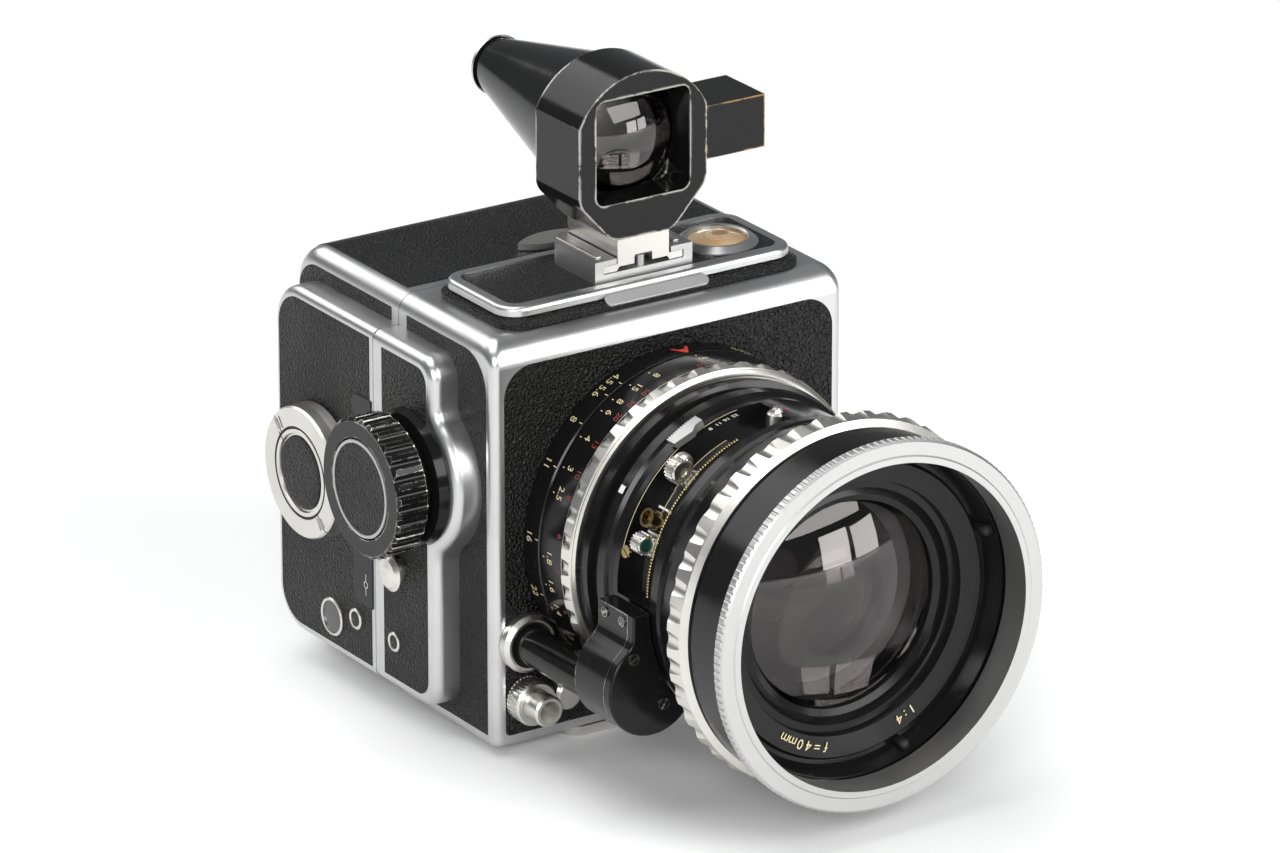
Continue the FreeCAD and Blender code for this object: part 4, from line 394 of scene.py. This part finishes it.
def arc(radius, start, end, steps, x=0.0, y=0.0):
    """Points round a circle from one angle to another, in degrees."""
    turns = [math.radians(start + (end - start) * i / steps) for i in range(steps + 1)]
    return [(x + radius * math.cos(turn), y + radius * math.sin(turn)) for turn in turns]


def revolve(shape, profile, steps, closed=False):
    """Turns a profile of (radius, height) points about the local Z."""
    rings = []
    for i in range(steps):
        turn = math.tau * i / steps
        rings.append([shape.verts.new((r * math.cos(turn), r * math.sin(turn), h)) for r, h in profile])
    for ring, following in zip(rings, rings[1:] + rings[:1]):
        for j in range(len(profile) if closed else len(profile) - 1):
            k = (j + 1) % len(profile)
            shape.faces.new((ring[j], following[j], following[k], ring[k]))
    return shape


def slab(shape, outline, bottom, top, move=Matrix.Identity(4)):
    """A flat plate with an outline, between two heights."""
    under = [shape.verts.new(move @ Vector((x, y, bottom))) for x, y in outline]
    over = [shape.verts.new(move @ Vector((x, y, top))) for x, y in outline]
    shape.faces.new(under[::-1])
    shape.faces.new(over)
    for i in range(len(outline)):
        j = (i + 1) % len(outline)
        shape.faces.new((under[i], under[j], over[j], over[i]))
    return shape


def oblong(width, height, corner, steps=6):
    """A rectangle with round corners, centred."""
    x, y = width / 2 - corner, height / 2 - corner
    return (arc(corner, 0, 90, steps, x, y) + arc(corner, 90, 180, steps, -x, y)
            + arc(corner, 180, 270, steps, -x, -y) + arc(corner, 270, 360, steps, x, -y))


def screw(shape, radius, height, slot_angle, move=Matrix.Identity(4)):
    """A slotted head: a low disc with two raised halves. The slot's half width is a part of the radius."""
    gap = math.degrees(math.asin(SLOT_HALF_WIDTH))
    slab(shape, arc(radius, 0, 345, 23), 0, height * 0.5, move)
    for side in (0, 180):
        half = arc(radius, slot_angle + side + gap, slot_angle + side + 180 - gap, 12)
        slab(shape, half, height * 0.4, height, move)


def toothed(radius, depth, teeth):
    """A knurled outline."""
    points = []
    for i in range(teeth):
        for part, out in ((0.0, 0.0), (0.25, 1.0), (0.5, 1.0), (0.75, 0.0)):
            turn = math.tau * (i + part) / teeth
            points.append(((radius - depth + depth * out) * math.cos(turn),
                           (radius - depth + depth * out) * math.sin(turn)))
    return points


def letters(shape, text, height, where):
    """Adds a word to a shape in metres. where(x, y) says where a point of the flat word, in mm, goes."""
    curve = bpy.data.curves.new("word", "FONT")
    curve.body = text
    curve.size = height / CAPITAL_HEIGHT
    curve.align_x = "CENTER"
    curve.align_y = "CENTER"
    holder = bpy.data.objects.new("word", curve)
    mesh = bpy.data.meshes.new_from_object(holder)
    for vertex in mesh.vertices:
        vertex.co = where(vertex.co.x, vertex.co.y)
    shape.from_mesh(mesh)
    bpy.data.objects.remove(holder)
    bpy.data.meshes.remove(mesh)
    bpy.data.curves.remove(curve)


def round_ring(angle, distance, radius):
    """Bends a flat mark round a lens ring, with its top forward."""
    return lambda x, y: on_lens(angle + math.degrees(x / radius), distance + y, radius + INK)


def on_face(angle, distance, radius):
    """Bends a flat mark round a face that looks forward, with its top outward."""
    return lambda x, y: on_lens(angle - math.degrees(x / radius), distance + INK, radius + y)


def flat_on(place, height, right=0.0, up=0.0):
    """Lays a flat mark in a local frame, at a height in mm, moved by mm to its right and up."""
    return lambda x, y: place @ Vector((x + right, y + up, height))


def mark(shape, outline, where):
    """Adds a small flat mark to a shape in metres."""
    shape.faces.new([shape.verts.new(where(x, y)) for x, y in outline])


def bar(width, length, x=0.0, y=0.0):
    """A rectangle's corners, with its middle at a point."""
    return [(x - width / 2, y - length / 2), (x + width / 2, y - length / 2),
            (x + width / 2, y + length / 2), (x - width / 2, y + length / 2)]


def band(shape, start, end, distance, radius, width):
    """A painted line round part of a lens ring."""
    steps = max(2, round(abs(end - start) / 2))
    turns = [start + (end - start) * i / steps for i in range(steps + 1)]
    sides = (distance - width / 2, distance + width / 2)
    rows = [[shape.verts.new(on_lens(turn, side, radius + INK)) for side in sides] for turn in turns]
    for row, following in zip(rows, rows[1:]):
        shape.faces.new((row[0], following[0], following[1], row[1]))


# ---------------------------------------------------------------- lens scales

# Each figure with its angle round the lens, in degrees.
DEPTH_MARKS = [("4.5", 115.3), ("5.6", 121.5), ("8", 134.1), ("11", 150.6), ("16", 175.9), ("22", 195.8)]
METRE_MARKS = [("∞", 87), ("8", 105.6), ("15", 113.5), ("8", 121.2), ("6", 126.5), ("4", 137.4),
               ("3", 148.8), ("2.5", 157.6), ("1.8", 179.7), ("1.6", 189.9), ("1.4", 199), ("1.2", 210)]
FOOT_MARKS = [("60", 91), ("50", 113.6), ("30", 119.8), ("20", 126.3), ("13", 137.9), ("10", 149.2),
              ("8", 157.5), ("6", 170.8), ("5", 183), ("4", 198)]
# Heights and distances ahead of the body, in mm. The edge line lies behind the depth plate's front.
DEPTH_TEXT = {"height": 1.8, "distance": 1.9, "tick": 4.6}
METRE_TEXT = {"height": 1.7, "distance": 9.0, "tick": 7.0}
FOOT_TEXT = {"height": 1.4, "distance": 12.0}
SCALE_EDGE_SETBACK = 6.85


def make_scales():
    plate, ring = reach("lens_flange"), reach("distance_ring")
    depths = bmesh.new()
    for text, angle in DEPTH_MARKS:
        for turn in (angle, 180 - angle):
            letters(depths, text, DEPTH_TEXT["height"], round_ring(turn, DEPTH_TEXT["distance"], plate))
            mark(depths, bar(0.2, 1.0), round_ring(turn, DEPTH_TEXT["tick"], plate))
    piece("depth_scale", depths, None, "camera_body", "satin_chrome", CREAM)

    pointer = bmesh.new()
    mark(pointer, [(-2.1, 1.7), (2.1, 1.7), (0.25, 4.9), (-0.25, 4.9)], round_ring(88.6, 0, plate))
    piece("focus_index", pointer, None, "camera_body", "satin_chrome", RED)

    metres, feet = bmesh.new(), bmesh.new()
    for text, angle in METRE_MARKS:
        letters(metres, text, METRE_TEXT["height"], round_ring(angle, METRE_TEXT["distance"], ring))
        mark(metres, bar(0.22, 0.5), round_ring(angle + 0.6, METRE_TEXT["tick"], ring))
    for text, angle in FOOT_MARKS:
        letters(feet, text, FOOT_TEXT["height"], round_ring(angle, FOOT_TEXT["distance"], ring))
    piece("metre_scale", metres, None, "focus_ring", "satin_chrome", CREAM)
    piece("foot_scale", feet, None, "focus_ring", "satin_chrome", DULL_RED)

    edge = bmesh.new()
    band(edge, 0, 360, ahead("lens_flange") - SCALE_EDGE_SETBACK, plate - 0.1, 0.12)
    piece("scale_edge", edge, None, "camera_body", "satin_chrome")
    front = bmesh.new()
    band(front, 0, 360, ahead("focus_grip") - 0.25, reach("focus_grip") - 0.62, 0.22)
    piece("grip_edge_line", front, None, "focus_ring", "brass_fitting")
    grip_rear = (FRONT_Y - high("focus_grip").y) / MM
    rear = bmesh.new()
    band(rear, 0, 360, grip_rear - 0.12, ring - 0.02, 0.16)
    piece("grip_rear_line", rear, None, "focus_ring", "satin_chrome")


# ---------------------------------------------------------------- shutter controls

# Radii and distances ahead of the body are in mm, and angles round the lens are in degrees. CASE is the
# shutter case's outer radius, and WINDOW_FLOOR is the radius of the floor of its recess.
CASE = 31.0
WINDOW_FLOOR = CASE - 3.4
APERTURE_KNOB = {"angle": 131, "spot": 31.4, "front": 35.6, "radius": 2.6, "teeth": 22}
SYNC_KNOB = {"angle": 160.2, "spot": 30.6, "front": 35.4, "radius": 2.1, "teeth": 18}
COCKING_PLATE = {"start": 111.4, "end": 124.3, "rear": 26.5, "front": 29.2, "tooth": 0.6, "teeth": 12}
RACK = {"start": 108, "step": 1.2, "teeth": 60, "distance": 37, "radius": 29.6}
RIVET = {"angle": 86.2, "distance": 34}


def knurled_knob(name, node, body, knob):
    """A small knurled knob that faces forward, in place of the CAD's plain one. Returns its local frame."""
    radius = knob["radius"]
    place = facing(on_lens(knob["angle"], knob["front"], knob["spot"]), FORWARD)
    shape = bmesh.new()
    slab(shape, toothed(radius, 0.34, knob["teeth"]), -2.9, -0.35)
    revolve(shape, [(0, -0.5), (radius * 0.30, -0.5), (radius * 0.34, 0), (radius * 0.8, 0),
                    (radius - 0.25, -0.4), (radius - 0.4, -1.2)], 40)
    piece(name, shape, place, body, "satin_chrome", stands_for=(node,))
    return place


def knob_foot(name, body, knob):
    """The curved slider under a knob."""
    rear, front, half_turn, inner, outer = 33.0, 37.7, 4, WINDOW_FLOOR + 0.8, WINDOW_FLOOR + 1.5
    start, end = knob["angle"] - half_turn, knob["angle"] + half_turn
    outline = arc(outer, start, end, 8) + arc(inner, end, start, 8)
    piece(name, slab(bmesh.new(), outline, rear, front), along_lens(0), body, "satin_chrome")


def make_knobs():
    knurled_knob("aperture_setting_knob", "aperture_knob", "aperture_control", APERTURE_KNOB)
    sync_place = knurled_knob("sync_setting_knob", "sync_knob", "sync_control", SYNC_KNOB)
    dot = revolve(bmesh.new(), [(0, 0.16), (0.9, 0.12), (1.35, 0.02), (1.35, -0.4)], 32)
    piece("sync_dot", dot, sync_place, "sync_control", "satin_chrome", GREEN)

    washer = revolve(bmesh.new(), [(0, 0.6), (1.3, 0.5), (2.0, 0.2), (2.4, -0.3), (2.4, -1.0)], 48)
    spot = on_lens(APERTURE_KNOB["angle"] - 2.6, APERTURE_KNOB["front"] - 1.9, 31.0)
    piece("aperture_washer", washer, facing(spot, FORWARD), "aperture_control", "satin_chrome")

    knob_foot("aperture_foot", "aperture_control", APERTURE_KNOB)
    knob_foot("sync_foot", "sync_control", SYNC_KNOB)


def make_cocking_tab():
    """The cocking lever's light plate with its knurled rear edge, in place of the CAD's plain one."""
    start, end, rear, front = (COCKING_PLATE[key] for key in ("start", "end", "rear", "front"))
    steps = COCKING_PLATE["teeth"] * 2
    outline = [(start + (end - start) * i / steps, rear + COCKING_PLATE["tooth"] * (i % 2))
               for i in range(steps + 1)]
    outline += [(end, front + 0.2), (117, front + 1.1), (114.5, front), (start, front)]
    shape = bmesh.new()
    under = [shape.verts.new(on_lens(turn, distance, CASE + 0.45)) for turn, distance in outline]
    over = [shape.verts.new(on_lens(turn, distance, CASE + 1.9)) for turn, distance in outline]
    shape.faces.new(under)
    shape.faces.new(over[::-1])
    for i in range(len(outline)):
        j = (i + 1) % len(outline)
        shape.faces.new((under[i], under[j], over[j], over[i]))
    bmesh.ops.triangulate(shape, faces=[face for face in shape.faces if len(face.verts) > 4])
    piece("cocking_plate", shape, None, "cocking_lever", "satin_chrome", WHITE_METAL,
          stands_for=("cocking_tab",))


def make_window_lines():
    lines = bmesh.new()
    band(lines, 97, 166, 28.9, CASE, 0.16)
    band(lines, 108, 137, 32.7, WINDOW_FLOOR + 0.6, 0.16)
    band(lines, 137, 147, 33.0, WINDOW_FLOOR + 0.6, 0.16)
    piece("case_lines", lines, None, "lens_unit", "satin_chrome", CREAM)


def make_rack():
    """The row of fine brass teeth in the recess, and near-black bands of painted shade on the recess floor
    under them.
    """
    rack = bmesh.new()
    for i in range(RACK["teeth"]):
        place = beside_lens(RACK["start"] + i * RACK["step"], RACK["distance"], RACK["radius"])
        slab(rack, bar(0.40, 0.62), -0.2, 0.42, Matrix.Scale(1 / MM, 4) @ place)
    piece("shutter_rack", rack, Matrix.Scale(MM, 4), "lens_unit", "brass_fitting")
    track = bmesh.new()
    # Painted shade: near-black bands along the recess floor under the teeth.
    band(track, 107, 181, RACK["distance"] + 0.3, RACK["radius"] - 0.3, 0.9)
    band(track, 107, 181, 34.0, WINDOW_FLOOR, 4.0)
    piece("rack_floor_shade", track, None, "lens_unit", "brass_fitting", GAP_SHADE)


def make_window_fasteners():
    rivet = revolve(bmesh.new(), [(0, 1.5), (0.7, 1.4), (1.1, 0.9), (1.2, 0.5), (1.6, 0.5),
                                  (1.9, 0.1), (1.9, -2.6)], 40)
    place = beside_lens(RIVET["angle"], RIVET["distance"], CASE - 0.6)
    piece("stop_rivet", rivet, place, "lens_unit", "satin_chrome")
    head = bmesh.new()
    screw(head, 1.25, 0.7, 60)
    piece("window_screw", head, beside_lens(165.5, 30.3, CASE - 0.3), "lens_unit", "brass_fitting")


def make_window_marks():
    marks = bmesh.new()
    for outline in (bar(0.45, 4.6, -2.6, 1.2), bar(0.45, 4.6, 2.6, 1.2), bar(5.6, 0.45, 0, 3.3)):
        mark(marks, outline, round_ring(150.8, 32.2, WINDOW_FLOOR + 0.5))
    mark(marks, bar(1.6, 1.5), round_ring(146.5, 23.8, CASE + 1.2))
    for i, text in enumerate(("22", "16", "11", "8")):
        letters(marks, text, 1.0, round_ring(100 + i * 3.6, 30.6, CASE))
    piece("case_marks", marks, None, "lens_unit", "satin_chrome", WHITE)
    dots = bmesh.new()
    mark(dots, arc(0.4, 0, 330, 11), round_ring(119.5, 35.2, WINDOW_FLOOR + 0.6))
    mark(dots, bar(0.5, 1.2), round_ring(RIVET["angle"] - 4.7, RIVET["distance"] - 0.5, CASE))
    piece("case_dots", dots, None, "lens_unit", "satin_chrome", RED)


# ---------------------------------------------------------------- front of the lens

NAME_FACE_SETBACK = 3.65
NAME_FIGURES = (("1:4", 301, 3.4), ("f=40mm", 258, 4.4))
NOTCH = {"distance": 64.3, "radius": 30.9, "width": 1.6, "length": 3.4}


def make_front():
    """Generic figures on the name ring, and near-black blocks of painted shade standing for its spanner
    notches.
    """
    figures = bmesh.new()
    face = ahead("name_ring") - NAME_FACE_SETBACK
    for text, start, step in NAME_FIGURES:
        for i, letter in enumerate(text):
            letters(figures, letter, 2.0, on_face(start - i * step, face, 27.6))
    piece("front_figures", figures, None, "lens_unit", "satin_chrome", CREAM)
    notches = bmesh.new()
    for angle in (20, 110, 200, 290):
        # Painted shade: near-black blocks where the spanner notches are.
        place = Matrix.Scale(1 / MM, 4) @ beside_lens(angle, NOTCH["distance"], NOTCH["radius"])
        slab(notches, bar(NOTCH["width"], NOTCH["length"]), -0.3, 1.4, place)
    piece("spanner_notch_shade", notches, Matrix.Scale(MM, 4), "lens_unit", "lens_black", GAP_SHADE)


# ---------------------------------------------------------------- left side

def make_index_plate():
    """The glossy strip beside the seam, with a small film-plane mark."""
    spot = Vector((PANEL_X, low("magazine_side_housing").y + 3.9 * MM, LENS_Z - 0.8 * MM))
    place = facing(spot, LEFT)
    corner, half_tall, back, front, thickness = 2.2, 22, -3.9, 3.2, 0.12
    outline = ([(front, -half_tall), (front, half_tall)]
               + arc(corner, 90, 180, 6, back + corner, half_tall - corner)
               + arc(corner, 180, 270, 6, back + corner, corner - half_tall))
    plate = slab(bmesh.new(), outline, -0.2, thickness)
    piece("index_plate", plate, place, "magazine", "black_enamel", bevel=0.05)

    symbol = bmesh.new()
    outer, inner = arc(0.75, 0, 360, 24), arc(0.58, 0, 360, 24)
    laid = flat_on(place, thickness + INK, 0.8, -17.5)
    for i in range(24):
        mark(symbol, [outer[i], outer[i + 1], inner[i + 1], inner[i]], laid)
    mark(symbol, bar(0.16, 1.5, 0, 1.5), laid)
    mark(symbol, bar(0.16, 1.5, 0, -1.5), laid)
    piece("film_plane_mark", symbol, None, "magazine", "satin_chrome", WHITE)


def window_ring(name, spot, radius, body, middle_made, stands_for=()):
    """A thin bright ring round a small window."""
    bore = radius - 0.72
    ring = revolve(bmesh.new(), [(bore, -0.3), (bore + 0.05, 0.25), (bore + 0.25, 0.38),
                                 (radius - 0.2, 0.38), (radius, 0.18), (radius, -0.3)], 56, closed=True)
    piece(f"{name}_ring", ring, facing(spot, LEFT), body, "satin_chrome", stands_for=stands_for)
    # The disc in the middle takes middle_made. Given the near-black gap material, it is painted shade for
    # the dark inside of the window.
    disc = revolve(bmesh.new(), [(0, 0.12), (bore * 0.6, 0.09), (bore + 0.02, -0.05)], 40)
    piece(f"{name}_glass", disc, facing(spot, LEFT), body, "black_enamel", middle_made)


def make_side_windows():
    housing = low("body_side_housing")
    spot = Vector((PANEL_X, FRONT_Y + 27 * MM, housing.z + 10.2 * MM))
    # This window's middle, like the signal window's below, is a near-black disc of painted shade.
    window_ring("body_window", spot, 2.05, "camera_body", GAP_SHADE)
    counter, signal = 4, 2.2
    first, last = low("counter_windows"), high("counter_windows")
    spot = Vector((PANEL_X, last.y - counter * MM, first.z + counter * MM))
    window_ring("counter", spot, counter, "magazine", GREY_GLASS, ("counter_windows",))
    spot = Vector((PANEL_X, first.y + signal * MM, last.z - signal * MM))
    window_ring("signal", spot, signal, "magazine", GAP_SHADE, ("counter_windows",))


def make_knob_ring():
    """The bright line round the winding knob's leather."""
    knob = middle("advance_knob")
    face = Vector((low("advance_knob").x, knob.y, knob.z))
    profile = [(9.2, -0.2), (9.25, 0.16), (9.5, 0.24), (9.85, 0.16), (9.9, -0.2)]
    ring = revolve(bmesh.new(), profile, 96, closed=True)
    piece("knob_face_ring", ring, facing(face, LEFT), "winding_knob", "satin_chrome", WHITE_METAL)


def make_stud_plate():
    stud = middle("strap_studs")
    plate = slab(bmesh.new(), oblong(5.4, 6.4, 0.5), -0.1, 0.75)
    spot = Vector((PANEL_X, stud.y + 3.6 * MM, stud.z + 1.4 * MM))
    piece("stud_plate", plate, facing(spot, LEFT), "camera_body", "satin_chrome", bevel=0.15)


def make_crank_details():
    crank = middle("film_crank")
    face = Vector((low("film_crank").x, crank.y, crank.z))
    place = facing(face, LEFT)
    centre = revolve(bmesh.new(), [(0, 0.05), (6.6, 0.05), (7.4, -0.1), (7.6, -0.5)], 64)
    piece("crank_leather", centre, place, "crank", "black_leather")
    # Painted shade: a near-black ring in the gap round the crank's face.
    inner, outer, sunk, proud = 9.12, 9.42, -0.5, 0.05
    profile = [(inner, sunk), (inner, proud), (outer, proud), (outer, sunk)]
    gap = revolve(bmesh.new(), profile, 96, closed=True)
    piece("crank_gap_shade", gap, place, "crank", "matt_black", GAP_SHADE)
    # Painted shade: near-black strips in the cuts on the crank and its handle.
    for name, body, cuts in (("crank_cut_shade", "crank", ((129, 11.1), (141, 8.75))),
                             ("handle_cut_shade", "crank_fold", ((-51, 11.1),))):
        marks = bmesh.new()
        for angle, radius in cuts:
            turned = place @ Matrix.Rotation(math.radians(angle), 4, "Z")
            mark(marks, bar(2.6, 0.22, radius, 0), flat_on(turned, proud))
        piece(name, marks, None, body, "matt_black", GAP_SHADE)


# ---------------------------------------------------------------- top, finder and linkage

def make_nameplate():
    """A blank satin label with round ends on the front of the top leather."""
    top = high("body_shell").z
    spot = Vector((0, low("top_leathers").y + 0.55 * MM, top + 1.75 * MM))
    place = facing(spot, Vector((0, -1, 1.05)))
    width, height = 24, 2.4
    plate = slab(bmesh.new(), oblong(width, height, 1.19, 8), -0.3, 0.35)
    piece("blank_label", plate, place, "camera_body", "satin_chrome", WHITE_METAL, bevel=0.08)


def make_shoe_springs():
    first, last = low("accessory_shoe"), high("accessory_shoe")
    width, length, inset = 1.6, 14.5, 2.3
    for name, side in (("left", -1), ("right", 1)):
        spring = slab(bmesh.new(), oblong(width, length, 0.5), 0.0, 0.28)
        spot = Vector((side * (last.x - inset * MM), (first.y + last.y) / 2, last.z))
        place = facing(spot, UP, -FORWARD)
        piece(f"shoe_spring_{name}", spring, place, "camera_body", "satin_chrome", bevel=0.06)


def make_level():
    """A fine circle on the level's glass, and its bubble a little off the middle."""
    vial = middle("level_vial")
    spot = Vector((vial.x, vial.y, high("level_vial").z))
    ring = revolve(bmesh.new(), [(2.3, 0.0), (2.33, 0.04), (2.47, 0.04), (2.5, 0.0)], 48, closed=True)
    piece("level_circle", ring, facing(spot, UP, -FORWARD), "camera_body", "level_amber", CREAM)
    bubble = revolve(bmesh.new(), [(0, 0.12), (1.0, 0.09), (1.6, 0.03), (1.7, 0.0)], 40)
    spot += Vector((1.4, 1.0, 0)) * MM
    piece("level_bubble", bubble, facing(spot, UP, -FORWARD), "camera_body", "level_amber", BUBBLE)


def make_finder_details():
    eye = middle("finder_eyepiece")
    rim = revolve(bmesh.new(), [(5.0, -0.3), (5.2, 0.12), (5.9, 0.15), (6.15, -0.2), (6.15, -0.8)], 64)
    place = facing(Vector((eye.x, high("finder_eyepiece").y, eye.z)), -FORWARD)
    piece("eyepiece_rim", rim, place, "finder", "satin_chrome")
    inner = revolve(bmesh.new(), [(0, -0.6), (2.5, -0.75), (4.9, -1.4)], 48)
    piece("eyepiece_glass", inner, place, "finder", "lens_glass", GREY_GLASS)


NECK_SCREWS = {"x": -36.35, "below_top": 1.9, "screws": ((-2.6, 30), (3.4, 70))}
COVER_SCREWS = ((-36.4, 35.0, 20), (-29.6, 24.3, 60))


def make_linkage_details():
    """Slotted screws on the side of the bracket's neck and on the front of its cover."""
    heads = bmesh.new()
    centre = (ahead("linkage_bracket") + 30) / 2
    for distance, turn in NECK_SCREWS["screws"]:
        spot = Vector((NECK_SCREWS["x"] * MM, FRONT_Y - (centre + distance) * MM,
                       high("linkage_bracket").z - NECK_SCREWS["below_top"] * MM))
        screw(heads, 1.0, 0.35, turn, Matrix.Scale(1 / MM, 4) @ facing(spot, LEFT))
    piece("neck_screws", heads, Matrix.Scale(MM, 4), "lens_unit", "lens_black", RUBBED)
    cover = bmesh.new()
    for x, z, turn in COVER_SCREWS:
        spot = Vector((x * MM, low("linkage_cover").y, z * MM))
        screw(cover, 1.15, 0.4, turn, Matrix.Scale(1 / MM, 4) @ facing(spot, FORWARD))
    piece("cover_screws", cover, Matrix.Scale(MM, 4), "lens_unit", "lens_black", RUBBED)


# ---------------------------------------------------------------- stage

def make_stage():
    floor = bpy.data.objects.new("floor", bpy.data.meshes.new("floor"))
    shape = bmesh.new()
    bmesh.ops.create_grid(shape, x_segments=1, y_segments=1, size=6)
    shape.to_mesh(floor.data)
    bpy.context.collection.objects.link(floor)
    paper = Graph("paper")
    paper.set(Base_Color=(0.93, 0.93, 0.93, 1), Roughness=0.9)
    floor.data.materials.append(paper.material)


def soft_light(name, spot, aim, size, power):
    """A white softbox, with its size in metres and its power in watts."""
    light = bpy.data.lights.new(name, "AREA")
    light.shape = "RECTANGLE"
    light.size, light.size_y = size
    light.energy = power
    item = bpy.data.objects.new(name, light)
    item.location = spot
    item.rotation_euler = (Vector(aim) - Vector(spot)).to_track_quat("-Z", "Y").to_euler()
    bpy.context.collection.objects.link(item)


def light_scene():
    """A white table under a large overhead box, with fills ahead and behind, in a dim room."""
    world = bpy.data.worlds.new("studio")
    bpy.context.scene.world = world
    world.use_nodes = True
    background = world.node_tree.nodes["Background"]
    background.inputs["Color"].default_value = (0.95, 0.97, 1.0, 1)
    background.inputs["Strength"].default_value = 0.20
    bpy.context.scene.view_settings.view_transform = "Standard"
    aim = (0, 0, 0.05)
    soft_light("top_box", (-0.25, 0.2, 1.2), aim, (1.2, 1.0), 10)
    soft_light("back_box", (-0.5, 1.9, 1.4), (0.2, 1.0, 0), (2.0, 1.2), 16)
    soft_light("left_fill", (-1.2, -1.3, 0.8), aim, (0.9, 0.7), 20)
    for i, (side, power) in enumerate(((0.55, 3.4), (0.98, 2.8))):
        soft_light(f"window_{i}", (side, -1.4 + side * 0.25, 0.18), aim, (0.36, 0.34), power)
    soft_light("front_fill", (0.4, -1.2, 0.75), (0, -0.2, 0), (1.2, 0.7), 14)


CAMERA_SPOT = Vector((-0.9096, -1.3822, 0.6978))
CAMERA_AIM = Vector((-0.00699, -0.017, 0.06251))


def make_camera():
    """Seen from the front left and a little above, with a long lens."""
    view = bpy.data.cameras.new("view")
    view.lens = 253.1
    view.sensor_width = 36
    view.shift_y = 0.0008
    view.clip_end = 20
    item = bpy.data.objects.new("view", view)
    item.location = CAMERA_SPOT
    item.rotation_euler = (CAMERA_AIM - CAMERA_SPOT).to_track_quat("-Z", "Y").to_euler()
    bpy.context.collection.objects.link(item)
    bpy.context.scene.camera = item


make_camera()
light_scene()
make_stage()
dress()
for make in (make_scales, make_knobs, make_cocking_tab, make_window_lines, make_rack, make_window_fasteners,
             make_window_marks, make_front, make_index_plate, make_side_windows, make_knob_ring,
             make_stud_plate, make_crank_details, make_nameplate, make_shoe_springs, make_level,
             make_finder_details, make_linkage_details):
    make()
